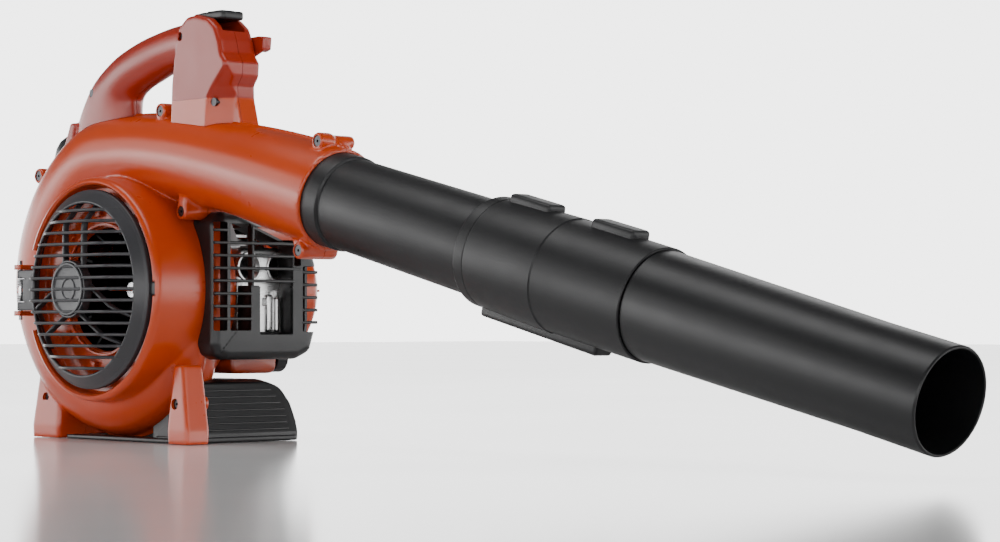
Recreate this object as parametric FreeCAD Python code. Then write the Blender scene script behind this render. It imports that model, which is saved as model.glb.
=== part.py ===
# Handheld petrol leaf blower. +X is the blowing direction, +Z is up, +Y is the engine side.
# The origin is on the floor, under the crankshaft axis, in the parting plane of the fan housing.
import FreeCAD, Part
import math
import os

V = FreeCAD.Vector

# ---- driving dimensions, mm ----
crankHeight = 122.0        # crankshaft axis above the floor
tubeDrop = 13.88           # fall of the blow tube, degrees
tubeAxisHeight = 247.7     # tube axis above the floor at x = 0
housingEnd = 252.4         # end of the housing outlet, along the tube axis
outletRadius = 39.0        # outside of the housing outlet
channelSides = 24          # facets round the air channel
scrollStep = 15.0          # degrees between scroll stations
shellWall = 2.6
partingGap = 0.04          # between the two halves of each split shell
fitGap = 0.3               # between separate bodies or seated pieces
runGap = 0.05              # radial gap of a shaft in its bore

drumRadius = 90.0
drumFront = -54.0
drumBack = 28.5
chamberRadius = 86.0
chamberFront = -34.0
chamberBack = 25.5
inletRadius = 49.0
inletPlate = 3.0

impellerRadius = 76.0
impellerBack = 18.0
impellerFront = -30.0
impellerDisc = 3.0
bladeCount = 12
bladeThick = 2.2
hubRadius = 12.0

guardRadius = 80.0
guardPlane = -52.0
guardRise = 22.0
guardFlat = 54.0
guardSlatPitch = 9.0
guardSlat = 2.4
guardSlats = 15
guardDepth = 5.0
badgeRadius = 21.0
hingeX = -91.0
hingeY = -57.5
hingePin = 1.6
hingeHalf = 15.0

engineY = 62.0             # cylinder axis
caseRadius = 36.0
caseFront = 36.0
caseWall = 6.0
shaftRadius = 6.0
bearingRadius = 16.0
bearingWidth = 10.0
webRadius = 25.0
webWidth = 7.0
crankThrow = 14.5
rodLength = 52.0
bore = 35.0
pistonHeight = 28.0
pistonGap = 0.05
cylinderFoot = 150.0
cylinderTop = 210.0
finHalfX = 27.0
finHalfY = 23.4
finPitch = 7.0
finThick = 2.0

mufflerY = 58.0
mufflerHalf = 27.0
mufflerBack = 42.0
mufflerFront = 84.0
mufflerLow = 82.0
mufflerHigh = 156.0
mufflerBoltHeight = 140.0
mufflerBoltHalf = 15.0

coverFront = 102.0
coverBack = 64.0
coverLeft = -6.0
coverRight = 100.0
coverLow = 66.0
coverHighLeft = 183.0
coverHighRight = 157.0
coverWall = 2.4
coverSlatPitch = 10.35

flywheelFront = 92.0
flywheelWidth = 14.0
flywheelRadius = 44.0
starterFront = 92.0
starterBack = 146.0
starterRadius = 58.0
pulleyRadius = 22.0
ropeRadius = 1.7
pulleyY = 126.0

tankLow = 54.0
tankHigh = 80.0
tankBack = -70.0
tankFront = 62.0
tankLeft = 42.0
tankRight = 90.0

handleHalf = 18.0
handleWall = 2.6
standTop = 50.0
standPlate = 3.0
screwRadius = 2.4
screwHead = 4.0
bossRadius = 6.6

made = {}


def keep(name, shape):
    made[name] = shape.removeSplitter() if shape.ShapeType != "Compound" else shape
    return made[name]


def box(x0, x1, y0, y1, z0, z1):
    return Part.makeBox(x1 - x0, y1 - y0, z1 - z0, V(x0, y0, z0))


def rod(radius, start, end):
    a = V(*start)
    b = V(*end)
    return Part.makeCylinder(radius, (b - a).Length, a, b - a)


def rodY(radius, y0, y1, x=0.0, z=crankHeight):
    return rod(radius, (x, y0, z), (x, y1, z))


def ringY(outer, inner, y0, y1, x=0.0, z=crankHeight):
    return rodY(outer, y0, y1, x, z).cut(rodY(inner, y0 - 1, y1 + 1, x, z))


def coneY(r0, r1, y0, y1, x=0.0, z=crankHeight):
    return Part.makeCone(r0, r1, y1 - y0, V(x, y0, z), V(0, 1, 0))


def fuse(shapes):
    return shapes[0].multiFuse(shapes[1:]) if len(shapes) > 1 else shapes[0]


def polygonY(points, y0, y1):
    corners = [V(x, y0, z) for x, z in points]
    face = Part.Face(Part.makePolygon(corners + corners[:1]))
    return face.extrude(V(0, y1 - y0, 0))


def polygonX(points, x0, x1):
    corners = [V(x0, y, z) for y, z in points]
    face = Part.Face(Part.makePolygon(corners + corners[:1]))
    return face.extrude(V(x1 - x0, 0, 0))


def roundedPoints(a0, a1, b0, b1, radius, steps=5):
    corners = [(a1 - radius, b1 - radius, 0), (a0 + radius, b1 - radius, 90),
               (a0 + radius, b0 + radius, 180), (a1 - radius, b0 + radius, 270)]
    points = []
    for a, b, start in corners:
        for i in range(steps + 1):
            angle = math.radians(start + 90.0 * i / steps)
            points.append((a + radius * math.cos(angle), b + radius * math.sin(angle)))
    return points


def barX(x0, x1, y0, y1, z0, z1, radius):
    return polygonX(roundedPoints(y0, y1, z0, z1, radius), x0, x1)


def barY(x0, x1, y0, y1, z0, z1, radius):
    return polygonY(roundedPoints(x0, x1, z0, z1, radius), y0, y1)


def lathe(points, axis):
    corners = [V(r, 0, h) for r, h in points]
    solid = Part.Face(Part.makePolygon(corners + corners[:1])).revolve(V(0, 0, 0), V(0, 0, 1), 360)
    turn = FreeCAD.Rotation(V(0, 0, 1), axis)
    solid.Placement = FreeCAD.Placement(V(0, 0, 0), turn)
    return solid


def hexNut(across, y0, y1, x=0.0, z=crankHeight):
    points = []
    for i in range(6):
        angle = math.radians(60 * i)
        points.append((x + across / 1.732 * math.cos(angle), z + across / 1.732 * math.sin(angle)))
    return polygonY(points, y0, y1)


def onTube(shape):
    shape = shape.copy()
    shape.Placement = FreeCAD.Placement(V(0, 0, tubeAxisHeight), FreeCAD.Rotation(V(0, 1, 0), tubeDrop))
    return shape


def tubePoint(s, side=0.0, up=0.0):
    drop = math.radians(tubeDrop)
    x = s * math.cos(drop) + up * math.sin(drop)
    return V(x, side, tubeAxisHeight - s * math.sin(drop) + up * math.cos(drop))


def routed(points, radius):
    # A round cord along straight runs joined by tangent arcs.
    pts = [V(*p) for p in points]
    edges = []
    last = pts[0]
    for before, here, after in zip(pts, pts[1:], pts[2:]):
        back = (before - here)
        ahead = (after - here)
        turn = math.pi - back.getAngle(ahead)
        reach = 0.45 * min(back.Length, ahead.Length)
        arc = reach / math.tan(turn / 2)
        u = V(back).normalize()
        v = V(ahead).normalize()
        start = here + u * reach
        end = here + v * reach
        middleDir = (u + v).normalize()
        middle = here + middleDir * (math.hypot(reach, arc) - arc)
        edges.append(Part.LineSegment(last, start).toShape())
        edges.append(Part.Arc(start, middle, end).toShape())
        last = end
    edges.append(Part.LineSegment(last, pts[-1]).toShape())
    path = Part.Wire(edges)
    section = Part.Wire(Part.makeCircle(radius, pts[0], pts[1] - pts[0]))
    return path.makePipeShell([section], True, False, 2)


# ---- fan housing ----
# Scroll stations: angle clockwise from the front, reach of the outer wall, channel radius.
scroll = [(14, 86, 24), (45, 103, 30), (90, 117.5, 34.5), (135, 136, 38), (180, 152, 40),
          (215, 153, 39), (245, 151, 36), (270, 142, 33.5)]
# Outlet stations: x, height of the channel centre, channel radius, fall in degrees.
outlet = [(60, 226, 33.5, 8), (120, 216, 35, 11)]


def sectionWire(center, radial, along, across):
    # A many-sided oval: half-length 'along' on the radial direction, 'across' on Y.
    swell = 0.997 / math.cos(math.pi / channelSides)
    points = []
    for i in range(channelSides):
        angle = 2 * math.pi * (i + 0.5) / channelSides
        points.append(center + radial * (along * swell * math.cos(angle))
                      + V(0, across * swell * math.sin(angle), 0))
    return Part.makePolygon(points + points[:1])


def scrollStations():
    stations = []
    for (a0, reach0, radius0), (a1, reach1, radius1) in zip(scroll, scroll[1:]):
        steps = max(1, round((a1 - a0) / scrollStep))
        for i in range(steps):
            part = i / steps
            stations.append((a0 + (a1 - a0) * part, reach0 + (reach1 - reach0) * part,
                             radius0 + (radius1 - radius0) * part))
    return stations + [scroll[-1]]


def channel(grow, extra=0.0):
    wires = []
    for angle, reach, radius in scrollStations():
        turn = math.radians(angle)
        radial = V(math.cos(turn), 0, -math.sin(turn))
        center = V(0, 0, crankHeight) + radial * (reach - radius)
        wires.append(sectionWire(center, radial, radius + grow, radius + grow))
    for x, height, radius, fall in outlet:
        tilt = math.radians(fall)
        up = V(math.sin(tilt), 0, math.cos(tilt))
        wires.append(sectionWire(V(x, 0, height), up, radius + grow, radius + grow))
    up = V(math.sin(math.radians(tubeDrop)), 0, math.cos(math.radians(tubeDrop)))
    for s, radius in [(190, outletRadius - 1.2), (housingEnd + extra, outletRadius)]:
        wires.append(sectionWire(tubePoint(s), up, radius + grow, radius + grow))
    return Part.makeLoft(wires, True, True)


def footSolid(low, high, yLow, yHigh, yTopLow, yTopHigh, top):
    def outline(x0, x1, y0, y1, z):
        corners = [V(x0, y0, z), V(x1, y0, z), V(x1, y1, z), V(x0, y1, z)]
        return Part.makePolygon(corners + corners[:1])
    lowWire = outline(low[0], low[1], yLow, yHigh, 0)
    topWire = outline(high[0], high[1], yTopLow, yTopHigh, top)
    return Part.makeLoft([lowWire, topWire], True, True)


# Screw places: x, z, lowest y of the boss, highest y of the boss.
screwPlaces = [(44.5, 264.5, -17, 17), (240, 231, -17, 17), (222.5, 149.5, -21, 14),
               (79, 183, -22, 24), (84.5, 31.5, -30, -2), (-101, 33, -24, 22), (-122, 219, -20, 20)]

channelOuter = channel(0.0)
channelInner = channel(-shellWall, 0.5)
channelClear = channel(fitGap)

drum = rodY(drumRadius, drumFront, drumBack)
frontFoot = footSolid((74, 103), (80, 92), -33, -9, -30, -9, 62)
rearFoot = footSolid((-121, -80), (-112, -80), -28, 24, -24, 22, 62)
bosses = [rodY(bossRadius, y0, y1, x, z) for x, z, y0, y1 in screwPlaces]
mountRing = rodY(34, drumBack - 1, caseFront - partingGap)
housing = fuse([channelOuter, drum, frontFoot, rearFoot, mountRing] + bosses)
hollow = channelInner.multiFuse([rodY(chamberRadius, chamberFront, chamberBack),
                                 rodY(inletRadius, drumFront - 1, chamberFront + 1),
                                 rodY(guardRadius + 4, drumFront - 1, chamberFront - inletPlate),
                                 rodY(shaftRadius + 7, chamberBack - 1, caseFront + 1)])
cuts = [hollow]
outletBore = onTube(rod(outletRadius - shellWall + 0.1, (housingEnd - 26, 0, 0), (housingEnd + 5, 0, 0)))
cuts.append(outletBore)
for x, z, y0, y1 in screwPlaces:
    hole = rodY(screwRadius + 0.2, y0 - 1, y1 - 4, x, z)
    cuts.append(hole.fuse(rodY(screwHead + 0.4, y0 - 1, y0 + 5, x, z)))
hingePocket = box(hingeX - 8, hingeX + 12, drumFront - 2, hingeY + 13, crankHeight - 21, crankHeight + 21)
cuts.append(hingePocket)
latchSlot = box(guardRadius + 2, guardRadius + 7.2, drumFront - 2, guardPlane + 4.5,
                crankHeight - 6, crankHeight + 6)
cuts.append(latchSlot)
housing = housing.cut(cuts)
knuckles = [box(hingeX - 6, hingeX + 3, hingeY - 3.5, hingeY + 13.5, z0, z0 + 4)
            for z0 in (crankHeight - 21, crankHeight + 17)]
housing = fuse([housing] + knuckles)
housing = housing.cut(rod(hingePin + 0.02, (hingeX, hingeY, crankHeight - 20), (hingeX, hingeY, crankHeight + 20)))

leftSpace = box(-400, 400, -200, -partingGap / 2, -50, 400)
rightSpace = box(-400, 400, partingGap / 2, 200, -50, 400)


def largest(shape):
    return max(shape.Solids, key=lambda solid: solid.Volume)


keep("volute_intake_shell", largest(housing.common(leftSpace)))
keep("volute_engine_shell", largest(housing.common(rightSpace)))

screws = []
for x, z, y0, y1 in screwPlaces:
    shank = rodY(screwRadius, y0 + 1.5, y1 - 5, x, z)
    head = rodY(screwHead, y0 + 0.8, y0 + 5, x, z)
    socket = hexNut(2.1, y0 + 0.5, y0 + 3.2, x, z)
    screws.append(shank.fuse(head).cut(socket))
caseScrews = list(screws)

# ---- stand ----
plate = box(-78, 66, -22, 88, 0, standPlate)
blockProfile = [(28, 0), (87, 0), (87, 6), (76, standTop - 3), (70, standTop), (28, standTop)]
block = polygonY(blockProfile, -8.4, 92)
blockRound = polygonX([(-8.4, 0), (92, 0), (92, 10), (88, 30), (80, 42), (62, standTop), (-8.4, standTop)], 20, 90)
block = block.common(blockRound)
rearBlock = polygonY([(-122, 0), (-72, 0), (-78, 40), (-114, 40)], 25, 90)
stand = fuse([plate, block, rearBlock])
stand = stand.cut(box(34, 80, 34, 86, standPlate, standTop - 3))
stand = stand.cut(channel(1.2))
stand = stand.cut(rodY(drumRadius + 1, drumFront, drumBack + 1))
keep("stand", largest(stand))

# ---- intake guard ----
domeProfile = [(0, 0), (guardRadius, 0), (70, 8), (guardFlat, guardRise), (0, guardRise)]


def towardIntake(profile):
    return lathe(profile, V(0, -1, 0))


def placeGuard(shape, y=guardPlane):
    shape = shape.copy()
    shape.translate(V(0, y, crankHeight))
    return shape


domeSolid = placeGuard(towardIntake(domeProfile))
domeShell = domeSolid.cut(placeGuard(towardIntake(domeProfile), guardPlane + guardDepth))
skirt = domeShell.cut(rodY(70, guardPlane - 40, guardPlane + 10))
rim = ringY(guardRadius, guardRadius - 4, guardPlane, guardPlane + 3)
guardParts = [skirt, rim]
for i in range(guardSlats):
    height = (i - (guardSlats - 1) / 2) * guardSlatPitch
    slab = box(-90, 90, guardPlane - 40, guardPlane + 10,
               crankHeight + height - guardSlat / 2, crankHeight + height + guardSlat / 2)
    guardParts.append(domeShell.common(slab).cut(ringY(90, 71, guardPlane - 40, guardPlane + 10)))
for angle in (90, -30, 210):
    for side in (-12.7, 12.7):
        rib = box(0, 76, guardPlane - guardRise + guardDepth - 1, guardPlane - guardRise + guardDepth + 6,
                  side - 1.2, side + 1.2)
        rib.rotate(V(0, 0, 0), V(0, 1, 0), -angle)
        rib.translate(V(0, 0, crankHeight))
        guardParts.append(rib.common(domeSolid))
guardParts.append(rodY(badgeRadius + 2, guardPlane - guardRise, guardPlane - guardRise + guardDepth + 3))
leaf = box(hingeX - 1, -66, hingeY - 2.6, hingeY + 2.6, crankHeight - hingeHalf, crankHeight + hingeHalf)
leaf = leaf.cut(box(hingeX - 6, hingeX + 5, hingeY - 4, hingeY + 4,
                    crankHeight - 9.6, crankHeight + 9.6))
leafKnuckle = rod(2.9, (hingeX, hingeY, crankHeight - hingeHalf), (hingeX, hingeY, crankHeight + hingeHalf))
leafKnuckle = leafKnuckle.cut(box(hingeX - 6, hingeX + 5, hingeY - 4, hingeY + 4,
                                  crankHeight - 9.6, crankHeight + 9.6))
guardParts += [leaf, leafKnuckle]
guard = fuse(guardParts)
guard = guard.cut(rod(hingePin + runGap, (hingeX, hingeY, crankHeight - 30), (hingeX, hingeY, crankHeight + 30)))
badgeSeat = rodY(badgeRadius + 0.05, guardPlane - guardRise - 1, guardPlane - guardRise + 1.5)
guard = guard.cut(badgeSeat)
keep("intake_guard", largest(guard))
badge = rodY(badgeRadius, guardPlane - guardRise - 1.2, guardPlane - guardRise + 1.5)
badge = badge.cut(ringY(badgeRadius - 2.5, badgeRadius - 5, guardPlane - guardRise - 2, guardPlane - guardRise - 0.4))
keep("guard_badge", badge)
keep("guard_hinge_pin", rod(hingePin, (hingeX, hingeY, crankHeight - 20), (hingeX, hingeY, crankHeight + 20)))

springWire = 1.6
springInner = hingePin + 0.3
springOuter = springInner + springWire
coils = []
for low in (-9.0, 3.9):
    for i in range(3):
        z = crankHeight + low + i * 1.8
        coil = rod(springOuter, (hingeX, hingeY, z), (hingeX, hingeY, z + springWire))
        coils.append(coil.cut(rod(springInner, (hingeX, hingeY, z - 1), (hingeX, hingeY, z + 3))))
coils.append(box(hingeX - springOuter - 0.6, hingeX - springInner - 0.2, hingeY - 0.7, hingeY + 0.7,
                 crankHeight - 9, crankHeight + 9))
keep("guard_spring", fuse(coils))

latchTongue = box(guardRadius - 5, guardRadius + 6, guardPlane + 0.2, guardPlane + 3.6,
                  crankHeight - 5, crankHeight + 5)
latchThumb = box(guardRadius - 22, guardRadius - 5, guardPlane - 1.2, guardPlane + 3.6,
                 crankHeight - 5, crankHeight + 5)
latch = latchTongue.fuse(latchThumb)
latchWay = box(guardRadius - 26, guardRadius + 1, guardPlane - 1.6, guardPlane + 4,
               crankHeight - 5.4, crankHeight + 5.4)
made["intake_guard"] = largest(made["intake_guard"].cut(latchWay))
keep("guard_latch", latch)

# ---- impeller and crankshaft ----
blades = []
for i in range(bladeCount):
    inner = V(44, 0, 0)
    outer = V((impellerRadius - 1) * math.cos(math.radians(26)), 0, (impellerRadius - 1) * math.sin(math.radians(26)))
    middle = V(62, 0, 9)
    arc = Part.Arc(inner, middle, outer).toShape()
    face = arc.extrude(V(0, impellerBack - impellerFront, 0))
    blade = face.makeOffsetShape(bladeThick, 0.01, fill=True)
    blade.translate(V(0, impellerFront, 0))
    blade.rotate(V(0, 0, 0), V(0, 1, 0), 360.0 * i / bladeCount)
    blade.translate(V(0, 0, crankHeight))
    blades.append(blade)
bladeSet = Part.makeCompound(blades).common(ringY(impellerRadius, 40, impellerFront, impellerBack + 1))
frontTrim = coneY(inletRadius + 8, inletRadius - 6, impellerFront - 0.5, impellerFront + 7)
bladeSet = bladeSet.cut(frontTrim)
disc = rodY(impellerRadius, impellerBack, impellerBack + impellerDisc)
hub = rodY(hubRadius, 4, impellerBack + 1)
hubFlare = coneY(hubRadius, 40, 14, impellerBack + 0.5)
impeller = fuse([disc, hub, hubFlare] + bladeSet.Solids)
impeller = impeller.cut(rodY(shaftRadius + 0.02, 0, impellerBack + 10))
keep("impeller", largest(impeller))
keep("impeller_nut", hexNut(18, -4, 4).cut(rodY(shaftRadius + 0.02, -6, 6)))

frontWeb = engineY - 6 - webWidth
rearWeb = engineY + 6
caseBack = 2 * engineY - caseFront
pinHeight = crankHeight + crankThrow
keep("crank_front_shaft", rodY(shaftRadius, -12, frontWeb - fitGap))
keep("crank_rear_shaft", rodY(shaftRadius, rearWeb + webWidth + fitGap, flywheelFront + flywheelWidth + 8))
counterweight = box(-40, 40, 0, 200, crankHeight + 6, crankHeight + 60)
webs = []
for y0 in (frontWeb, rearWeb):
    weight = rodY(webRadius, y0, y0 + webWidth).cut(counterweight)
    cheek = rodY(11, y0, y0 + webWidth, 0, pinHeight)
    webs.append(weight.fuse(cheek))
throwShape = fuse(webs + [rodY(5.5, frontWeb, rearWeb + webWidth, 0, pinHeight)])
keep("crank_throw", throwShape)

wristHeight = pinHeight + rodLength
bigEnd = rodY(9.5, engineY - 5, engineY + 5, 0, pinHeight)
smallEnd = rodY(7.5, engineY - 4.5, engineY + 4.5, 0, wristHeight)
beam = box(-4, 4, engineY - 2.5, engineY + 2.5, pinHeight + 7, wristHeight - 5)
conrod = fuse([bigEnd, smallEnd, beam])
conrod = conrod.cut(rodY(5.5 + runGap, engineY - 9, engineY + 9, 0, pinHeight))
conrod = conrod.cut(rodY(4.5 + runGap, engineY - 9, engineY + 9, 0, wristHeight))
keep("connecting_rod", conrod)
crown = wristHeight + 15
pistonRadius = bore / 2 - pistonGap
piston = rod(pistonRadius, (0, engineY, crown - pistonHeight), (0, engineY, crown))
piston = piston.cut(rod(pistonRadius - 3, (0, engineY, crown - pistonHeight - 1), (0, engineY, crown - 6)))
for side in (-1, 1):
    ends = sorted((engineY + side * 6, engineY + side * (pistonRadius - 1.5)))
    piston = piston.fuse(rodY(7, ends[0], ends[1], 0, wristHeight))
piston = piston.cut(rodY(4.5 + 0.01, engineY - 20, engineY + 20, 0, wristHeight))
ringLow = crown - 5.5
grooveOuter = rod(pistonRadius + 1, (0, engineY, ringLow), (0, engineY, ringLow + 1.6))
grooveInner = rod(pistonRadius - 1.6, (0, engineY, ringLow - 1), (0, engineY, ringLow + 3))
piston = piston.cut(grooveOuter.cut(grooveInner))
keep("piston", piston)
keep("piston_pin", rodY(4.5, engineY - 14, engineY + 14, 0, wristHeight))
ring = rod(bore / 2 - 0.01, (0, engineY, ringLow + 0.05), (0, engineY, ringLow + 1.55))
ring = ring.cut(rod(pistonRadius - 1.5, (0, engineY, ringLow - 1), (0, engineY, ringLow + 3)))
ring = ring.cut(box(-0.4, 0.4, engineY, engineY + 30, ringLow - 1, ringLow + 3))
keep("piston_ring", ring)

# ---- crankcase and cylinder ----
caseBody = rodY(caseRadius, caseFront, caseBack)
caseBody = caseBody.fuse(box(-26, 26, caseFront + 2.6, caseBack - 2.6, crankHeight + 10, cylinderFoot))
for angle in (150, 205, 235, 305):
    turn = math.radians(angle)
    x = (caseRadius - 1) * math.cos(turn)
    z = crankHeight + (caseRadius - 1) * math.sin(turn)
    caseBody = caseBody.fuse(rodY(5, caseFront, caseBack, x, z))
caseBody = caseBody.cut(box(-60, 60, 0, 120, cylinderFoot, cylinderFoot + 40))
caseBody = caseBody.cut(rodY(webRadius + 2, caseFront + bearingWidth + 2, caseBack - bearingWidth - 2))
caseBody = caseBody.cut(rodY(bearingRadius, caseFront + 2, caseBack - 2))
caseBody = caseBody.cut(rodY(shaftRadius + 4, caseFront - 1, caseBack + 1))
caseBody = caseBody.cut(rod(bore / 2 + 2.6, (0, engineY, crankHeight), (0, engineY, cylinderFoot + 1)))
split = box(-80, 80, engineY - partingGap / 2, engineY + partingGap / 2, 60, 200)
caseBody = caseBody.cut(split)
halves = sorted(caseBody.Solids, key=lambda solid: solid.CenterOfMass.y)
keep("crankcase_front", halves[0])
keep("crankcase_rear", halves[-1])
bearings = []
for y0 in (caseFront + 2, caseBack - 2 - bearingWidth):
    bearings.append(ringY(bearingRadius - 0.01, shaftRadius + runGap, y0, y0 + bearingWidth))
keep("main_bearings", Part.makeCompound(bearings))

barrel = rod(bore / 2 + 5, (0, engineY, cylinderFoot + 0.02), (0, engineY, cylinderTop))
skirtTube = rod(bore / 2 + 2.5, (0, engineY, cylinderFoot - 6), (0, engineY, cylinderFoot + 1))
foot = box(-26, 26, engineY - finHalfY, engineY + finHalfY, cylinderFoot + 0.02, cylinderFoot + 5)
cylinderParts = [barrel, skirtTube, foot]
finZ = cylinderFoot + 9
while finZ < cylinderTop + 6:
    cylinderParts.append(box(-finHalfX, finHalfX, engineY - finHalfY, engineY + finHalfY, finZ, finZ + finThick))
    finZ += finPitch
cylinderParts.append(rod(13, (0, engineY, cylinderTop - 4), (0, engineY, cylinderTop + 8)))
flangeFace = 39.5
flangeLow = mufflerBoltHeight - 5.8
exhaustOutline = [(14, cylinderFoot + 5), (22, cylinderFoot + 3), (27.5, cylinderFoot + 0.5), (34, cylinderFoot - 10),
                  (34, flangeLow), (flangeFace, flangeLow), (flangeFace, cylinderFoot + 8),
                  (28, cylinderFoot + 27), (14, cylinderFoot + 27)]
exhaustStub = polygonY(exhaustOutline, mufflerY - 11, mufflerY + 11)
exhaustFlange = box(34, flangeFace, mufflerY - 21, mufflerY + 21, flangeLow, cylinderFoot + 4)
intakeStub = box(-34, -12, engineY - 15, engineY + 15, cylinderFoot + 12, cylinderFoot + 46)
cylinder = fuse(cylinderParts + [exhaustStub, exhaustFlange, intakeStub])
cylinder = cylinder.cut(rod(bore / 2, (0, engineY, cylinderFoot - 10), (0, engineY, crown + 1.5)))
portHeight = cylinderFoot - 2
intakeHeight = cylinderFoot + 35
cylinder = cylinder.cut(rod(5, (10, mufflerY, portHeight + 22.1), (flangeFace + 2.5, mufflerY, portHeight - 2)))
cylinder = cylinder.cut(rod(7, (-40, engineY, intakeHeight), (-10, engineY, intakeHeight)))
for side in (-1, 1):
    y = mufflerY + side * mufflerBoltHalf
    cylinder = cylinder.cut(rod(2.5, (33, y, mufflerBoltHeight), (45, y, mufflerBoltHeight)))
cylinder = cylinder.cut(rod(5, (0, engineY, crown), (0, engineY, cylinderTop + 10)))
keep("cylinder", largest(cylinder))

plugSeat = cylinderTop + 8
plug = rod(4.99, (0, engineY, crown + 1.6), (0, engineY, plugSeat + 0.5))
plug = plug.fuse(rod(8, (0, engineY, plugSeat), (0, engineY, plugSeat + 6)))
plug = plug.fuse(rod(4.5, (0, engineY, plugSeat + 6), (0, engineY, plugSeat + 18)))
keep("spark_plug", plug)
bootLow = plugSeat + 8
boot = rod(7, (0, engineY, bootLow), (0, engineY, bootLow + 14))
boot = boot.fuse(rod(4.5, (0, engineY, bootLow + 9), (0, engineY + 14, bootLow + 9)))
boot = boot.cut(rod(4.55, (0, engineY, bootLow - 1), (0, engineY, plugSeat + 18.2)))
keep("plug_boot", boot)

# ---- muffler ----
muffler = barX(mufflerBack, mufflerFront, mufflerY - mufflerHalf, mufflerY + mufflerHalf,
               mufflerLow, mufflerHigh, 9)
mufflerCavity = barX(mufflerBack + 1.5, mufflerFront - 1.5, mufflerY - mufflerHalf + 1.5,
                     mufflerY + mufflerHalf - 1.5, mufflerLow + 1.5, mufflerHigh - 1.5, 8)
boltWays = []
mufflerHoles = []
for side in (-1, 1):
    y = mufflerY + side * mufflerBoltHalf
    boltWays.append(rod(9, (mufflerBack, y, mufflerBoltHeight), (mufflerFront, y, mufflerBoltHeight)))
    mufflerHoles.append(rod(7.8, (mufflerBack + 8, y, mufflerBoltHeight), (mufflerFront + 1, y, mufflerBoltHeight)))
    mufflerHoles.append(rod(2.6, (mufflerBack - 1, y, mufflerBoltHeight), (mufflerFront, y, mufflerBoltHeight)))
muffler = muffler.cut(mufflerCavity).fuse(boltWays[0].common(muffler)).fuse(boltWays[1].common(muffler))
muffler = muffler.cut(Part.makeCompound(mufflerHoles))
muffler = muffler.cut(rod(5, (mufflerBack - 1, mufflerY, portHeight), (mufflerBack + 3, mufflerY, portHeight)))
muffler = muffler.cut(box(mufflerFront - 3, mufflerFront + 1, mufflerY - 3, mufflerY + 9, 92, 98))
keep("muffler", largest(muffler))
gasket = box(flangeFace + 0.1, mufflerBack - 0.1, mufflerY - 20, mufflerY + 20, mufflerBoltHeight - 7, cylinderFoot + 5)
gasket = gasket.cut(rod(5.2, (30, mufflerY, portHeight), (50, mufflerY, portHeight)))
bolts = []
for side in (-1, 1):
    y = mufflerY + side * mufflerBoltHalf
    gasket = gasket.cut(rod(2.7, (30, y, mufflerBoltHeight), (50, y, mufflerBoltHeight)))
    shank = rod(2.4, (35, y, mufflerBoltHeight), (mufflerBack + 9, y, mufflerBoltHeight))
    head = rod(4.3, (mufflerBack + 8.1, y, mufflerBoltHeight), (mufflerBack + 13, y, mufflerBoltHeight))
    bolts.append(shank.fuse(head))
keep("muffler_gasket", gasket)
keep("muffler_bolts", Part.makeCompound(bolts))

coverOutline = [(coverLeft, coverLow + 12), (coverLeft + 4, coverLow + 4), (coverLeft + 14, coverLow),
                (coverRight - 20, coverLow), (coverRight - 7, coverLow + 5), (coverRight - 1, coverLow + 14),
                (coverRight, coverLow + 24), (coverRight, coverHighRight - 14),
                (coverRight - 4, coverHighRight - 4), (coverRight - 13, coverHighRight),
                (coverLeft + 22, coverHighLeft), (coverLeft + 8, coverHighLeft), (coverLeft, coverHighLeft - 9)]


def shrunk(points, wall):
    wire = Part.makePolygon([V(0, y, z) for y, z in points] + [V(0, points[0][0], points[0][1])])
    return wire.makeOffset2D(-wall, 2)


coverSolid = polygonX(coverOutline, coverBack, coverFront)
innerWire = shrunk(coverOutline, coverWall)
innerWire.translate(V(coverBack - 1, 0, 0))
coverRoom = Part.Face(innerWire).extrude(V(coverFront - coverWall - coverBack + 1, 0, 0))
cover = coverSolid.cut(coverRoom)
slotLow = coverLow + 16
for i in range(9):
    z = slotLow + i * coverSlatPitch
    cover = cover.cut(box(coverFront - 12, coverFront + 1, coverLeft + 6, coverLeft + 24, z, z + coverSlatPitch - 3))
    if i < 6:
        cover = cover.cut(box(coverFront - 12, coverFront + 1, coverRight - 19, coverRight + 1,
                              z, z + coverSlatPitch - 3))
cover = cover.cut(box(coverFront - 5, coverFront + 1, coverLeft + 28, coverLeft + 84, coverLow + 16, coverLow + 62))
for i in range(3):
    z = coverLow + 65 + i * coverSlatPitch
    cover = cover.cut(box(coverFront - 5, coverFront + 1, coverLeft + 28, coverLeft + 84, z, z + coverSlatPitch - 3))
cover = cover.cut(rodY(drumRadius + 0.6, -20, 42))
cover = cover.cut(channelClear)
sideBoss = screwPlaces[3]
cover = cover.cut(rodY(bossRadius + 0.8, sideBoss[2] - 1, sideBoss[3] + 1, sideBoss[0], sideBoss[1]))
keep("muffler_cover", largest(cover))

# ---- intake side of the engine ----
insulatorBack = -46.0
insulator = box(insulatorBack, -34.02, engineY - 14, engineY + 14, intakeHeight - 14, intakeHeight + 10.5)
insulator = insulator.cut(rod(7, (-60, engineY, intakeHeight), (-20, engineY, intakeHeight)))
keep("intake_insulator", insulator)
carbBack = -82.0
carb = box(carbBack, insulatorBack - 0.02, engineY - 15, engineY + 15, intakeHeight - 17, intakeHeight + 15)
carb = carb.fuse(box(carbBack + 5, insulatorBack - 6, engineY - 11, engineY + 11,
                     intakeHeight - 23, intakeHeight + 19))
carb = carb.cut(rod(6.5, (-100, engineY, intakeHeight), (-20, engineY, intakeHeight)))
leverX = -64.0
carb = carb.cut(rod(2.5 + runGap, (leverX, engineY, intakeHeight + 5), (leverX, engineY, intakeHeight + 25)))
keep("carburettor", carb)
armTop = intakeHeight + 19.4
arm = rod(2.5, (leverX, engineY, intakeHeight + 8), (leverX, engineY, armTop + 3))
arm = arm.fuse(rod(5, (leverX, engineY, armTop), (leverX, engineY, armTop + 3)))
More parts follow.
